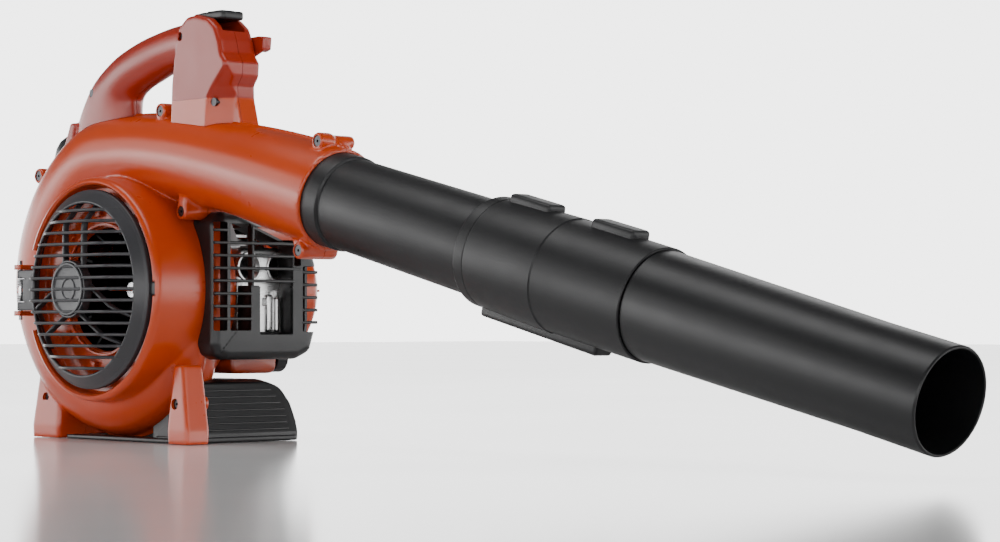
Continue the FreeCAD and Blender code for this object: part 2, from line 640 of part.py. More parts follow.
arm = arm.fuse(box(leverX - 3, leverX + 3, engineY, engineY + 16, armTop, armTop + 2))
keep("throttle_arm", arm)

baseBack = -96.0
filterBase = barX(baseBack, carbBack - 0.02, 24, 100, 176, 258, 8)
filterBase = filterBase.cut(channel(2.0))
filterBase = filterBase.cut(rod(6.5, (-120, engineY, intakeHeight), (-70, engineY, intakeHeight)))
primerX = -89.0
primerZ = 194.0
filterBase = filterBase.cut(rodY(7, 91, 102, primerX, primerZ))
keep("filter_base", largest(filterBase))
keep("air_filter", barX(baseBack - 16, baseBack - 0.02, 45, 94, 180, 252, 7))
filterOuter = barX(-166, baseBack - 0.3, 18, 104, 172, 262, 16)
filterDome = filterOuter.common(barY(-166, -60, 10, 110, 150, 262, 26))
filterRoom = barX(-162, baseBack, 22, 100, 176, 258, 13)
filterRoom = filterRoom.common(barY(-162.5, -60, 10, 110, 154, 258, 23))
filterCover = filterDome.cut(filterRoom)
filterCover = filterCover.cut(channel(1.5))
filterCover = filterCover.cut(rodY(153.6, 0, 43))
rearBoss = screwPlaces[6]
filterCover = filterCover.cut(rodY(bossRadius + 0.8, rearBoss[2], rearBoss[3] + 0.8, rearBoss[0], rearBoss[1]))
for z in (196, 204, 212, 220, 228):
    filterCover = filterCover.cut(box(-175, -155, 60, 92, z, z + 4))
knobZ = 244.0
filterCover = filterCover.cut(rod(3.2, (-170, engineY, knobZ), (-150, engineY, knobZ)))
keep("air_filter_cover", largest(filterCover))
knob = rod(3.0, (-156, engineY, knobZ), (-166.4, engineY, knobZ))
knob = knob.fuse(rod(9, (-166.4, engineY, knobZ), (-171, engineY, knobZ)))
knob = knob.fuse(box(-175, -170.5, engineY - 8, engineY + 8, knobZ - 1.6, knobZ + 1.6))
keep("filter_knob", knob)
bulb = rodY(6.4, 95, 100.3, primerX, primerZ)
bulbDome = Part.makeSphere(6.4, V(primerX, 100.3, primerZ)).common(box(-120, -60, 100.3, 120, 150, 250))
keep("primer_bulb", bulb.fuse(bulbDome))
chokeZ = 232.0
choke = rodY(5, 100.4, 104, primerX, chokeZ)
choke = choke.fuse(box(primerX - 2.6, primerX + 2.6, 100.4, 103, chokeZ - 26, chokeZ))
choke = choke.fuse(box(primerX - 4, primerX + 4, 100.4, 110, chokeZ - 27, chokeZ - 23))
keep("choke_lever", choke)

# ---- fuel ----
tank = barX(tankBack, tankFront, tankLeft, tankRight, tankLow, tankHigh, 8)
tank = tank.cut(barX(tankBack + 2.2, tankFront - 2.2, tankLeft + 2.2, tankRight - 2.2,
                     tankLow + 2.2, tankHigh - 2.2, 6))
capX = 50.0
capZ = 67.0
neck = rodY(9, tankRight - 1, tankRight + 8, capX, capZ)
tank = tank.fuse(neck).cut(rodY(7, tankRight - 4, tankRight + 9, capX, capZ))
tank = tank.cut(rod(2.2, (-60, engineY, tankHigh - 4), (-60, engineY, tankHigh + 4)))
keep("fuel_tank", tank)
cap = rodY(12.5, tankRight + 1, tankRight + 13, capX, capZ)
cap = cap.cut(rodY(9.1, tankRight, tankRight + 8.3, capX, capZ))
for i in range(14):
    angle = 2 * math.pi * i / 14
    cap = cap.cut(rodY(0.9, tankRight + 3, tankRight + 14, capX + 12.5 * math.cos(angle), capZ + 12.5 * math.sin(angle)))
keep("fuel_cap", cap)
fuelLine = routed([(-60, engineY, tankLow + 7), (-60, engineY, 106), (leverX, engineY, 130),
                   (leverX, engineY, intakeHeight - 23.05)], 2.0)
keep("fuel_line", fuelLine)

# ---- flywheel, ignition and starter ----
wheel = ringY(flywheelRadius, shaftRadius + 0.01, flywheelFront, flywheelFront + 5)
wheel = wheel.fuse(ringY(flywheelRadius, flywheelRadius - 9, flywheelFront, flywheelFront + flywheelWidth))
wheel = wheel.fuse(ringY(14, shaftRadius + 0.01, flywheelFront, flywheelFront + flywheelWidth))
for i in range(6):
    angle = math.radians(60 * i + 30)
    wheel = wheel.cut(rodY(5, flywheelFront - 1, flywheelFront + 6, 25 * math.cos(angle),
                           crankHeight + 25 * math.sin(angle)))
pawlX = 22.0
wheel = wheel.fuse(rodY(4, flywheelFront + 4, flywheelFront + flywheelWidth, pawlX, crankHeight))
keep("flywheel", wheel)
pawlY = flywheelFront + flywheelWidth + 0.3
pawl = rodY(4, pawlY, pawlY + 4, pawlX, crankHeight)
pawl = pawl.fuse(box(pawlX - 3, pawlX + 1, pawlY, pawlY + 4, crankHeight, crankHeight + 13))
keep("starter_pawl", pawl)
moduleFront = flywheelFront + 4
module = barY(-15, 15, moduleFront, moduleFront + 11, 0, 11, 2)
for x in (-13, 9):
    module = module.fuse(box(x, x + 4, moduleFront + 1, moduleFront + 9, -3, 3))
module.translate(V(0, 0, crankHeight + flywheelRadius + 3.6))
module = module.cut(rodY(flywheelRadius + 0.5, flywheelFront - 1, flywheelFront + 20))
module = module.common(rodY(starterRadius - 3.2, flywheelFront, flywheelFront + 20))
keep("ignition_module", largest(module))

leadY = engineY + finHalfY + 3.4
lead = routed([(0, moduleFront - 0.1, crankHeight + flywheelRadius + 6.5), (0, leadY, crankHeight + flywheelRadius + 6.5),
               (0, leadY, bootLow + 9), (0, engineY + 14.1, bootLow + 9)], 2.3)
keep("ignition_lead", lead)

starter = rodY(starterRadius, starterFront, starterBack)
starter = starter.cut(rodY(starterRadius - 3, starterFront - 1, starterBack - 3))
for radius, count in [(46, 18), (31, 12)]:
    for i in range(count):
        slot = box(radius - 5.5, radius + 5.5, starterBack - 5, starterBack + 1, -2.2, 2.2)
        slot.rotate(V(0, 0, 0), V(0, 1, 0), 360.0 * i / count)
        slot.translate(V(0, 0, crankHeight))
        starter = starter.cut(slot)
for angle in (30, 150, 210, 330):
    turn = math.radians(angle)
    x = (starterRadius - 1) * math.cos(turn)
    z = crankHeight + (starterRadius - 1) * math.sin(turn)
    lug = rodY(6, starterFront, starterFront + 12, x, z).cut(rodY(starterRadius - 3, starterFront - 1, starterBack - 3))
    starter = starter.fuse(lug).cut(rodY(2.2, starterFront - 1, starterFront + 14, x, z))
post = rodY(5, pulleyY - 5, starterBack - 2)
ropeX = -pulleyRadius
eyelet = rod(6, (ropeX, pulleyY, crankHeight + 46), (ropeX, pulleyY, crankHeight + 60))
starter = fuse([starter, post, eyelet])
starter = starter.cut(rod(ropeRadius + 0.3, (ropeX, pulleyY, crankHeight + 30), (ropeX, pulleyY, crankHeight + 70)))
keep("starter_housing", largest(starter))
pulley = rodY(pulleyRadius + 4, pulleyY - 6, pulleyY + 5)
pulley = pulley.cut(ringY(pulleyRadius + 8, pulleyRadius - ropeRadius - 0.4, pulleyY - 2.6, pulleyY + 2.6))
pulley = pulley.fuse(ringY(9, 5 + runGap, pulleyY - 6, pulleyY + 12))
pulley = pulley.cut(rodY(5 + runGap, pulleyY - 5.5, pulleyY + 20)).cut(rodY(shaftRadius + 1, 100, pulleyY - 5))
pulley = pulley.cut(rodY(15, pulleyY - 7, pulleyY - 5))
keep("starter_pulley", pulley)
turns = []
for i in range(6):
    turns.append(ringY(12.5 + i * 1.9, 11.9 + i * 1.9, pulleyY + 5.5, pulleyY + 11.5))
for i in range(5):
    turns.append(box(11.9 + i * 1.9, 14.4 + i * 1.9, pulleyY + 5.5, pulleyY + 11.5, crankHeight - 0.4, crankHeight + 0.4))
keep("recoil_spring", fuse(turns))
ropeLow = crankHeight + 8.0
handleLow = crankHeight + 61.0
keep("starter_rope", rod(ropeRadius, (ropeX, pulleyY, ropeLow), (ropeX, pulleyY, handleLow + 1)))
grip = barY(ropeX - 17, ropeX + 17, pulleyY - 7, pulleyY + 7, handleLow + 10, handleLow + 23, 6)
grip = grip.fuse(Part.makeCone(6, 8, 11, V(ropeX, pulleyY, handleLow), V(0, 0, 1)))
grip = grip.cut(rod(ropeRadius + 0.02, (ropeX, pulleyY, handleLow - 1), (ropeX, pulleyY, handleLow + 1)))
keep("starter_grip", grip)

# ---- cylinder cover ----
hood = barX(-40, 41, 36.8, 95, 172, 250, 12)
hoodRoom = barX(-50, 50, 38.3, 92.6, 140, 247.6, 10)
hood = hood.cut(hoodRoom)
hood = hood.cut(rodY(starterRadius + 1.5, starterFront - 12, 120))
for i in range(5):
    x = -32 + i * 14
    hood = hood.cut(box(x, x + 6, 50, 76, 246, 256))
hood = hood.cut(channel(1.0))
keep("cylinder_cover", largest(hood))

# ---- handle ----
# Stations of the grip: the upper outline point and the lower outline point, and the half width.
gripStations = [((-90, 246), (-6, 246), 16), ((-80, 268), (-9, 268), 16.5), ((-61, 292), (-9, 279), 17),
                ((-35, 310), (0, 285), 17), ((-3, 322.5), (18, 291), 17), ((34, 330.7), (42, 298), 16.2),
                ((84, 336), (84, 302), 16.2)]
postFront = [(131, 246), (124, 271), (123.5, 281), (129, 288), (130, 299), (124.5, 306), (122, 316),
             (117, 327), (108, 334), (92, 338), (80, 337)]
postRear = [(70, 330), (63, 305), (60, 284), (59, 262), (58, 246)]


def gripSolid(shrink):
    wires = []
    for upper, lower, half in gripStations:
        a = V(upper[0], 0, upper[1])
        b = V(lower[0], 0, lower[1])
        major = (a - b) * 0.5
        along = major.Length - shrink
        wires.append(sectionWire((a + b) * 0.5, major.normalize(), along, half - shrink))
    return Part.makeLoft(wires, True, True)


def postSolid(shrink):
    points = postFront + postRear
    wire = Part.makePolygon([V(x, 0, z) for x, z in points] + [V(points[0][0], 0, points[0][1])])
    if shrink:
        wire = wire.makeOffset2D(-shrink, 2)
    half = handleHalf - shrink
    solid = Part.Face(wire).extrude(V(0, 2 * half, 0))
    solid.translate(V(0, -half, 0))
    return solid


handle = gripSolid(0).fuse(postSolid(0))
handleRoom = gripSolid(handleWall).fuse(postSolid(handleWall))
handle = handle.cut(handleRoom)
handle = handle.cut(channelClear.fuse(rodY(drumRadius + 1, drumFront, drumBack + 1)))
for x, z, y0, y1 in screwPlaces[:1]:
    handle = handle.cut(rodY(bossRadius + 0.6, y0 - 1, y1 + 1, x, z))
handleScrews = [(-52, 285), (72, 322), (112, 268)]
columns = []
for x, z in handleScrews:
    columns.append(rodY(4.6, -handleHalf + 2.5, handleHalf - 2.5, x, z))
handle = fuse([handle] + columns)
screws = []
for x, z in handleScrews:
    handle = handle.cut(rodY(1.9, -handleHalf - 3, handleHalf - 7, x, z))
    handle = handle.cut(rodY(3.6, -handleHalf - 3, -handleHalf + 5.5, x, z))
    shank = rodY(1.7, -handleHalf + 5, handleHalf - 8, x, z)
    screws.append(shank.fuse(rodY(3.3, -handleHalf + 3.2, -handleHalf + 5.5, x, z)))
keep("housing_screws", Part.makeCompound(caseScrews + screws))
triggerPivot = (72.0, 308.0)
triggerHalf = 7.0
handle = handle.cut(box(48, 80, -triggerHalf - 0.6, triggerHalf + 0.6, 281, 309))
switchX = (86.0, 119.0)
switchLow = 333.0
handle = handle.cut(box(switchX[0] - 0.4, switchX[1] + 0.4, -11.4, 11.4, switchLow - 9, switchLow + 12))
cruisePivot = (110.0, 312.0)
handle = handle.cut(rodY(3.5 + runGap, handleHalf - 6, handleHalf + 2, cruisePivot[0], cruisePivot[1]))
cableExit = (82.0, 276.0)
handle = handle.cut(rodY(2.8, handleHalf - 6, handleHalf + 2, cableExit[0], cableExit[1]))
handle = handle.cut(rodY(2.0, -handleHalf + 3, handleHalf - 3, triggerPivot[0], triggerPivot[1]))
keep("handle_left_half", largest(handle.common(leftSpace)))
keep("handle_right_half", largest(handle.common(rightSpace)))

px, pz = triggerPivot
triggerSide = [(px + 5, pz + 4), (px - 4, pz + 5), (px - 14, pz - 2), (px - 20, pz - 7), (px - 21, pz - 14),
               (px - 18, pz - 22), (px - 11, pz - 24), (px - 7, pz - 17), (px - 5, pz - 8), (px + 5, pz - 4)]
trigger = polygonY(triggerSide, -triggerHalf, triggerHalf)
for i in range(4):
    trigger = trigger.cut(box(px - 24, px - 19.4 + i * 0.2, -triggerHalf - 1, triggerHalf + 1,
                              pz - 20 + i * 3.4, pz - 19 + i * 3.4))
trigger = trigger.cut(rodY(2.0 + runGap, -20, 20, px, pz))
keep("throttle_trigger", largest(trigger))
keep("trigger_pin", rodY(2.0, -handleHalf + 2.7, handleHalf - 2.7, px, pz))

switch = barX(switchX[0], switchX[1], -11, 11, switchLow, switchLow + 8, 3)
keep("stop_switch", switch)

cx, cz = cruisePivot
cruise = rodY(3.5, handleHalf - 3, handleHalf + 1, cx, cz)
cruise = cruise.fuse(rodY(8, handleHalf + 0.4, handleHalf + 4.4, cx, cz))
cruise = cruise.fuse(polygonY([(cx, cz - 5), (cx + 15, cz - 4), (cx + 22, cz - 2), (cx + 23, cz + 8),
                               (cx + 16, cz + 9), (cx, cz + 6)], handleHalf + 0.4, handleHalf + 4.4))
cruise = cruise.fuse(polygonY([(cx + 15, cz - 4), (cx + 22, cz - 2), (cx + 23, cz + 8), (cx + 16, cz + 9)],
                              handleHalf + 0.4, handleHalf + 9))
keep("cruise_lever", cruise)

cableRoute = [(cableExit[0], handleHalf - 4, cableExit[1]), (cableExit[0] - 1, handleHalf + 9, cableExit[1] - 1),
              (66, 40, 267), (34, 54, 258.5), (-14, 62, 257), (-50, 66, 248),
              (leverX + 4, 70, 226), (leverX, engineY + 14, armTop + 5)]
keep("throttle_cable", routed(cableRoute, 2.2))

# ---- blow tubes ----
tubeWall = 2.2
jointLap = 17.0
tubeOne = (housingEnd - 18.0, 270.2, 427.7)
tubeOneCollar = outletRadius - shellWall - 0.2
tubeOneRadius = 34.7
tubeOneEnd = 35.5
tubeTwo = (tubeOne[2], 505.3, 590.0)
tubeTwoRadius = (40.0, 41.0, 39.6)
nozzleEnd = 834.0
nozzleStart = 37.9
nozzleMouth = 34.8
mouthLength = 60.0


def turned(points):
    corners = [V(s, 0, r) for s, r in points]
    face = Part.Face(Part.makePolygon(corners + corners[:1]))
    return onTube(face.revolve(V(0, 0, 0), V(1, 0, 0), 360))


endOne = tubeOne[2] + jointLap
oneOuter = [(tubeOne[0], tubeOneCollar), (tubeOne[1] - 1, tubeOneCollar), (tubeOne[1], tubeOneRadius - 0.6),
            (tubeOne[1] + 1, tubeOneRadius), (endOne, tubeOneEnd)]
oneInner = [(endOne, tubeOneEnd - tubeWall), (tubeOne[1] + 4, tubeOneRadius - tubeWall),
            (tubeOne[0], tubeOneCollar - tubeWall)]
keep("tube_1", turned(oneOuter + oneInner))

twoGap = 0.35
nozzleRoot = tubeTwo[2] - 22
nozzleRootRadius = tubeTwoRadius[2] - tubeWall - 0.35
twoOuter = [(tubeTwo[0], tubeTwoRadius[0]), (tubeTwo[1], tubeTwoRadius[1]), (tubeTwo[1] + 1.5, tubeTwoRadius[1] - 0.8),
            (tubeTwo[2], tubeTwoRadius[2])]
twoInner = [(tubeTwo[2], tubeTwoRadius[2] - tubeWall), (nozzleRoot - 0.4, tubeTwoRadius[2] - tubeWall),
            (tubeTwo[1], tubeTwoRadius[1] - tubeWall), (endOne + 8, tubeTwoRadius[0] - tubeWall),
            (endOne + 1, tubeOneEnd + twoGap), (tubeTwo[0], tubeOneEnd + twoGap)]
tubeTwoBody = turned(twoOuter + twoInner)
rail = onTube(barX(tubeTwo[0] + 4, 548, -9, 9, -45.5, -30, 4))
lugs = [onTube(barX(s, s + 40, -9, 9, 30, 45.2, 4)) for s in (tubeTwo[0] + 14, tubeTwo[1] + 18)]
room = turned([(tubeTwo[0] - 5, 0), (tubeTwo[2] + 5, 0), (tubeTwo[2] + 5, 38.2), (tubeTwo[0] - 5, 38.2)])
tubeTwoBody = fuse([tubeTwoBody, rail.cut(room)] + [lug.cut(room) for lug in lugs])
keep("tube_2", largest(tubeTwoBody))

nozzleOuter = [(nozzleRoot, nozzleRootRadius), (tubeTwo[2] + 0.4, nozzleRootRadius), (tubeTwo[2] + 0.5, nozzleStart),
               (nozzleEnd - mouthLength, nozzleMouth), (nozzleEnd, nozzleMouth)]
mouthBore = nozzleMouth - tubeWall
nozzleInner = [(nozzleEnd, mouthBore), (nozzleEnd - mouthLength, mouthBore),
               (nozzleRoot, nozzleRootRadius - tubeWall)]
keep("nozzle", turned(nozzleOuter + nozzleInner))

os.makedirs("parts", exist_ok=True)
for name, shape in made.items():
    shape.exportStep("parts/" + name + ".step")
    print(name, len(shape.Solids), round(shape.Volume), shape.isValid())
print(len(made), "nodes")
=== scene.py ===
import bpy, bmesh
import math
import numpy as np
from mathutils import Matrix, Vector


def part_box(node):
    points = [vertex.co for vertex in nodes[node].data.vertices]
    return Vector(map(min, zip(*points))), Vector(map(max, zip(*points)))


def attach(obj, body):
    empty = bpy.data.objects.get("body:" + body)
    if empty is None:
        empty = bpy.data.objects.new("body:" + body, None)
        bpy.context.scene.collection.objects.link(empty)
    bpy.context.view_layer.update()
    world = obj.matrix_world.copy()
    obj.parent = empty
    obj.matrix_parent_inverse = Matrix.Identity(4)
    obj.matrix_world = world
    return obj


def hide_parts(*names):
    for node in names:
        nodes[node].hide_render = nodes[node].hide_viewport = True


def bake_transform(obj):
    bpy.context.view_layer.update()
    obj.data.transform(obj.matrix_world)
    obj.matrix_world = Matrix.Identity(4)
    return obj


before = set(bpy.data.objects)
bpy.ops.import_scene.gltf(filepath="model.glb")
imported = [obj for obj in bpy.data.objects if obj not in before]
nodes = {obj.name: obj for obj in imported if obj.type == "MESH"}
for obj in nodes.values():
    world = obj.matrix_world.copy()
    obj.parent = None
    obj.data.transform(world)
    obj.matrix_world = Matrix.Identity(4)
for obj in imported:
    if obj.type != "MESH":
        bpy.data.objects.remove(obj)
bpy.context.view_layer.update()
mm = 0.001
print("frame loaded:", len(nodes), "nodes")


# shader helpers
class Socket:
    # wraps an output socket so that plain arithmetic adds Math nodes
    def __init__(self, finish, out):
        self.finish = finish
        self.out = out

    def math(self, operation, other=None, swap=False):
        a, b = (other, self) if swap else (self, other)
        values = {0: a} if other is None else {0: a, 1: b}
        return self.finish.add("ShaderNodeMath", dict(operation=operation), values)

    def __add__(self, other):
        return self.math("ADD", other)

    def __sub__(self, other):
        return self.math("SUBTRACT", other)

    def __rsub__(self, other):
        return self.math("SUBTRACT", other, True)

    def __mul__(self, other):
        return self.math("MULTIPLY", other)

    __radd__ = __add__
    __rmul__ = __mul__

    def clamp(self, low=0.0, high=1.0):
        return self.finish.add("ShaderNodeClamp", {}, {0: self, 1: low, 2: high})


class Finish:
    # one material, with its Principled shader and a short way to add nodes
    def __init__(self, name, **constants):
        self.material = bpy.data.materials.new(name)
        self.material.use_nodes = True
        self.tree = self.material.node_tree
        self.shader = self.tree.nodes["Principled BSDF"]
        self.output = self.tree.nodes["Material Output"]
        for socket, value in constants.items():
            self.shader.inputs[socket.replace("_", " ")].default_value = value

    def add(self, kind, settings, values, out=0):
        node = self.tree.nodes.new(kind)
        for key, value in settings.items():
            if key == "stops":
                ramp = node.color_ramp
                while len(ramp.elements) < len(value):
                    ramp.elements.new(0.5)
                for element, (place, color) in zip(ramp.elements, value):
                    element.position = place
                    element.color = color
            else:
                setattr(node, key, value)
        for key, value in values.items():
            if isinstance(value, Socket):
                self.tree.links.new(value.out, node.inputs[key])
            else:
                node.inputs[key].default_value = value
        return Socket(self, node.outputs[out])

    def feed(self, **links):
        for socket, value in links.items():
            self.tree.links.new(value.out, self.shader.inputs[socket.replace("_", " ")])
        return self

    def place(self, scale=1.0, stretch=(1, 1, 1), turn=(0, 0, 0)):
        spot = self.add("ShaderNodeTexCoord", {}, {}, "Object")
        return self.add("ShaderNodeMapping", {}, {0: spot, "Scale": [scale * s for s in stretch],
            "Rotation": turn})

    def noise(self, scale, detail=3.0, rough=0.5, spot=None):
        spot = spot or self.place()
        return self.add("ShaderNodeTexNoise", {}, {"Vector": spot, "Scale": scale, "Detail": detail,
            "Roughness": rough})

    def cells(self, scale, spot=None, feature="F1"):
        spot = spot or self.place()
        return self.add("ShaderNodeTexVoronoi", dict(feature=feature), {"Vector": spot, "Scale": scale})

    def mix(self, factor, a, b):
        return self.add("ShaderNodeMix", dict(data_type="RGBA"), {0: factor, 6: a, 7: b}, 2)

    def bump(self, height, strength, distance, under=None):
        values = {"Strength": strength, "Distance": distance, "Height": height}
        if under:
            values["Normal"] = under
        return self.add("ShaderNodeBump", {}, values)


def rgb(r, g, b):
    return (r, g, b, 1.0)


def mouldedPlastic(name, color, deep, rough, grain, grainScale, coat=0.0, coatRough=0.15, metal=0.0):
    # moulded plastic: faint colour drift, grain in the bump, and a gloss that varies a little
    f = Finish(name, Specular_IOR_Level=0.5, Coat_Roughness=coatRough, Metallic=metal, IOR=1.48)
    f.shader.inputs["Coat Weight"].default_value = coat
    drift = f.noise(9.0, 4.0)
    f.feed(Base_Color=f.mix((drift - 0.3).clamp() * 1.4, rgb(*deep), rgb(*color)))
    smears = f.noise(38.0, 5.0, 0.6)
    f.feed(Roughness=(smears - 0.5) * 0.16 + rough)
    fine = f.cells(grainScale) * 0.6 + f.noise(grainScale * 1.7, 2.0) * 0.4
    orangePeel = f.noise(160.0, 2.0)
    f.feed(Normal=f.bump(fine, grain, 0.00012, f.bump(orangePeel, 0.04, 0.0004)))
    return f.material


def metal(name, color, rough, streak, metallic=1.0, stretch=(1, 1, 1), pit=0.05):
    f = Finish(name, Metallic=metallic, Specular_IOR_Level=0.5)
    brushed = f.noise(900.0, 3.0, 0.6, f.place(1.0, stretch))
    cloud = f.noise(60.0, 4.0)
    f.feed(Base_Color=f.mix(cloud, rgb(*[c * 0.72 for c in color]), rgb(*color)))
    f.feed(Roughness=(brushed - 0.5) * streak + rough)
    f.feed(Normal=f.bump(f.noise(2400.0, 2.0), pit, 0.0001))
    return f.material


orange = mouldedPlastic("orangeHousing", (0.60, 0.062, 0.003), (0.50, 0.044, 0.002), 0.3, 0.06, 2600.0, 0.35,
    0.2)
handleOrange = mouldedPlastic("orangeHandle", (0.38, 0.022, 0.003), (0.32, 0.017, 0.003), 0.34, 0.07, 2600.0,
    0.25, 0.22)
blackPlastic = mouldedPlastic("blackPlastic", (0.012, 0.012, 0.013), (0.008, 0.008, 0.009), 0.36, 0.25, 1700.0)
guardGrey = mouldedPlastic("guardGrey", (0.052, 0.052, 0.057), (0.038, 0.038, 0.042), 0.34, 0.16, 2000.0)
tubeBlack = mouldedPlastic("tubeBlack", (0.011, 0.011, 0.012), (0.008, 0.008, 0.009), 0.42, 0.5, 1500.0)
nozzleBlack = mouldedPlastic("nozzleBlack", (0.010, 0.010, 0.011), (0.007, 0.007, 0.008), 0.38, 0.2, 1800.0)
steel = metal("zincSteel", (0.55, 0.55, 0.57), 0.32, 0.2)
brightSteel = metal("brightSteel", (0.82, 0.82, 0.84), 0.16, 0.12)
castAluminium = metal("castAluminium", (0.62, 0.62, 0.63), 0.48, 0.12, pit=0.35)
mufflerSteel = metal("mufflerSteel", (0.66, 0.66, 0.66), 0.3, 0.22, stretch=(1, 0.06, 1))
gasketGrey = mouldedPlastic("gasketFibre", (0.10, 0.10, 0.10), (0.05, 0.05, 0.05), 0.8, 0.6, 900.0)
rubber = mouldedPlastic("softRubber", (0.012, 0.012, 0.012), (0.007, 0.007, 0.007), 0.62, 0.35, 1300.0)
print("finishes ready")


# mesh helpers
def linked(name, data):
    piece = bpy.data.objects.new(name, data)
    bpy.context.scene.collection.objects.link(piece)
    return piece


def pieceFrom(name, points, faces):
    mesh = bpy.data.meshes.new(name)
    mesh.from_pydata([tuple(p) for p in points], [], faces)
    mesh.validate()
    piece = linked(name, mesh)
    return piece


def tidyNormals(piece):
    bm = bmesh.new()
    bm.from_mesh(piece.data)
    bmesh.ops.remove_doubles(bm, verts=bm.verts, dist=1e-6)
    bmesh.ops.recalc_face_normals(bm, faces=bm.faces)
    bm.to_mesh(piece.data)
    bm.free()
    return piece


def lofted(name, rings, caps=True, loop=False):
    # skin between rings that all have the same count of points
    count = len(rings[0])
    points = [p for ring in rings for p in ring]
    faces = []
    last = len(rings) if loop else len(rings) - 1
    for r in range(last):
        a, b = r * count, ((r + 1) % len(rings)) * count
        for i in range(count):
            j = (i + 1) % count
            faces.append((a + i, a + j, b + j, b + i))
    if caps and not loop:
        for start, ring in ((0, rings[0]), ((len(rings) - 1) * count, rings[-1])):
            middle = sum((Vector(p) for p in ring), Vector()) / count
            points.append(middle)
            for i in range(count):
                faces.append((start + i, start + (i + 1) % count, len(points) - 1))
    return tidyNormals(pieceFrom(name, points, faces))


def rounded(points, radius, steps=5, closed=True):
    # a path whose corners are turned with arcs; each point may carry its own radius as a third value
    out = []
    n = len(points)
    for i, point in enumerate(points):
        here = Vector(point[:2])
        r = point[2] if len(point) > 2 else radius
        if r <= 0 or (not closed and i in (0, n - 1)):
            out.append(tuple(here))
            continue
        back = Vector(points[(i - 1) % n][:2]) - here
        ahead = Vector(points[(i + 1) % n][:2]) - here
        angle = back.angle(ahead)
        if angle > math.pi - 0.02:
            out.append(tuple(here))
            continue
        reach = min(r / math.tan(angle / 2), back.length * 0.48, ahead.length * 0.48)
        start = here + back.normalized() * reach
        end = here + ahead.normalized() * reach
        for k in range(steps + 1):
            t = k / steps
            out.append(tuple((1 - t) ** 2 * start + 2 * t * (1 - t) * here + t * t * end))
    return out


def profile(points, radius, steps=5):
    # a rounded path given in millimetres
    return [(a * mm, b * mm) for a, b in rounded(points, radius, steps)]


def turned(name, outline, place, sides=96, loop=True, swell=None):
    # outline points are (along the axis, radius); place turns them into the frame
    rings = []
    for k in range(sides):
        angle = 2 * math.pi * k / sides
        ring = []
        for s, r in outline:
            r = r + (swell(s, angle) if swell else 0)
            ring.append(place @ Vector((s, r * math.cos(angle), r * math.sin(angle))))
        rings.append(ring)
    count = len(outline)
    points = [p for ring in rings for p in ring]
    faces = []
    for k in range(sides):
        a, b = k * count, ((k + 1) % sides) * count
        for i in range(count if loop else count - 1):
            j = (i + 1) % count
            faces.append((a + i, a + j, b + j, b + i))
    return tidyNormals(pieceFrom(name, points, faces))


def prism(name, outline, low, high, axis, edge=0.0, steps=3):
    # an outline drawn out along an axis, with its two rims rounded by edge
    def shrunk(by):
        n = len(outline)
        moved = []
        for i in range(n):
            before, here, after = (Vector(outline[(i + d) % n][:2]) for d in (-1, 0, 1))
            one, two = (here - before).normalized(), (after - here).normalized()
            normal = Vector((one.y, -one.x)) + Vector((two.y, -two.x))
            scale = by / max(0.35, normal.length / 2)
            moved.append(here - normal.normalized() * scale * turnSign)
        return moved
    area = sum(outline[i - 1][0] * outline[i][1] - outline[i][0] * outline[i - 1][1] for i in range(len(outline)))
    turnSign = 1 if area > 0 else -1
    levels = [(low, 0.0), (high, 0.0)]
    if edge > 0:
        arc = [(edge * (1 - math.sin(k * math.pi / 2 / steps)), edge * (1 - math.cos(k * math.pi / 2 / steps)))
               for k in range(steps + 1)]
        levels = [(low + d, inset) for d, inset in reversed(arc)] + [(high - d, inset) for d, inset in arc]
    order = {"x": lambda h, p: Vector((h, p[0], p[1])), "y": lambda h, p: Vector((p[0], h, p[1])),
             "z": lambda h, p: Vector((p[0], p[1], h))}[axis]
    rings = [[order(h, p) for p in (shrunk(inset) if inset else outline)] for h, inset in levels]
    return lofted(name, rings)


def boxOutline(a0, a1, b0, b1, radius, steps=5):
    return rounded([(a0, b0), (a1, b0), (a1, b1), (a0, b1)], radius, steps)


def softBox(name, x0, x1, y0, y1, z0, z1, radius, edge, axis="x"):
    if axis == "x":
        return prism(name, boxOutline(y0, y1, z0, z1, radius), x0, x1, "x", edge)
    if axis == "y":
        return prism(name, boxOutline(x0, x1, z0, z1, radius), y0, y1, "y", edge)
    return prism(name, boxOutline(x0, x1, y0, y1, radius), z0, z1, "z", edge)


def mmBox(name, x0, x1, y0, y1, z0, z1, radius, edge, axis="x"):
    return softBox(name, *[size * mm for size in (x0, x1, y0, y1, z0, z1, radius, edge)], axis)


def turnTo(origin, axis, up=(0, 0, 1)):
    # a matrix whose local X lies on the axis
    x = Vector(axis).normalized()
    z = Vector(up)
    if abs(x.dot(z)) > 0.99:
        z = Vector((1, 0, 0))
    y = z.cross(x).normalized()
    z = x.cross(y)
    return Matrix.Translation(Vector(origin)) @ Matrix((x, y, z)).transposed().to_4x4()


def pin(name, start, end, radius, edge=0.0, sides=48):
    a, b = Vector(start), Vector(end)
    h = (b - a).length
    e = max(edge, 1e-5)
    outline = [(0, 1e-6), (0, radius - e), (e * 0.3, radius - e * 0.3), (e, radius), (h - e, radius),
               (h - e * 0.3, radius - e * 0.3), (h, radius - e), (h, 1e-6)]
    return turned(name, outline, turnTo(a, b - a), sides)


def mmPin(name, start, end, radius, edge=0, sides=48):
    a, b = ([c * mm for c in point] for point in (start, end))
    return pin(name, a, b, radius * mm, edge * mm, sides)


def settled(piece):
    # bakes the modifiers into the mesh
    graph = bpy.context.evaluated_depsgraph_get()
    mesh = bpy.data.meshes.new_from_object(piece.evaluated_get(graph))
    piece.modifiers.clear()
    old = piece.data
    piece.data = mesh
    bpy.data.meshes.remove(old)
    return piece


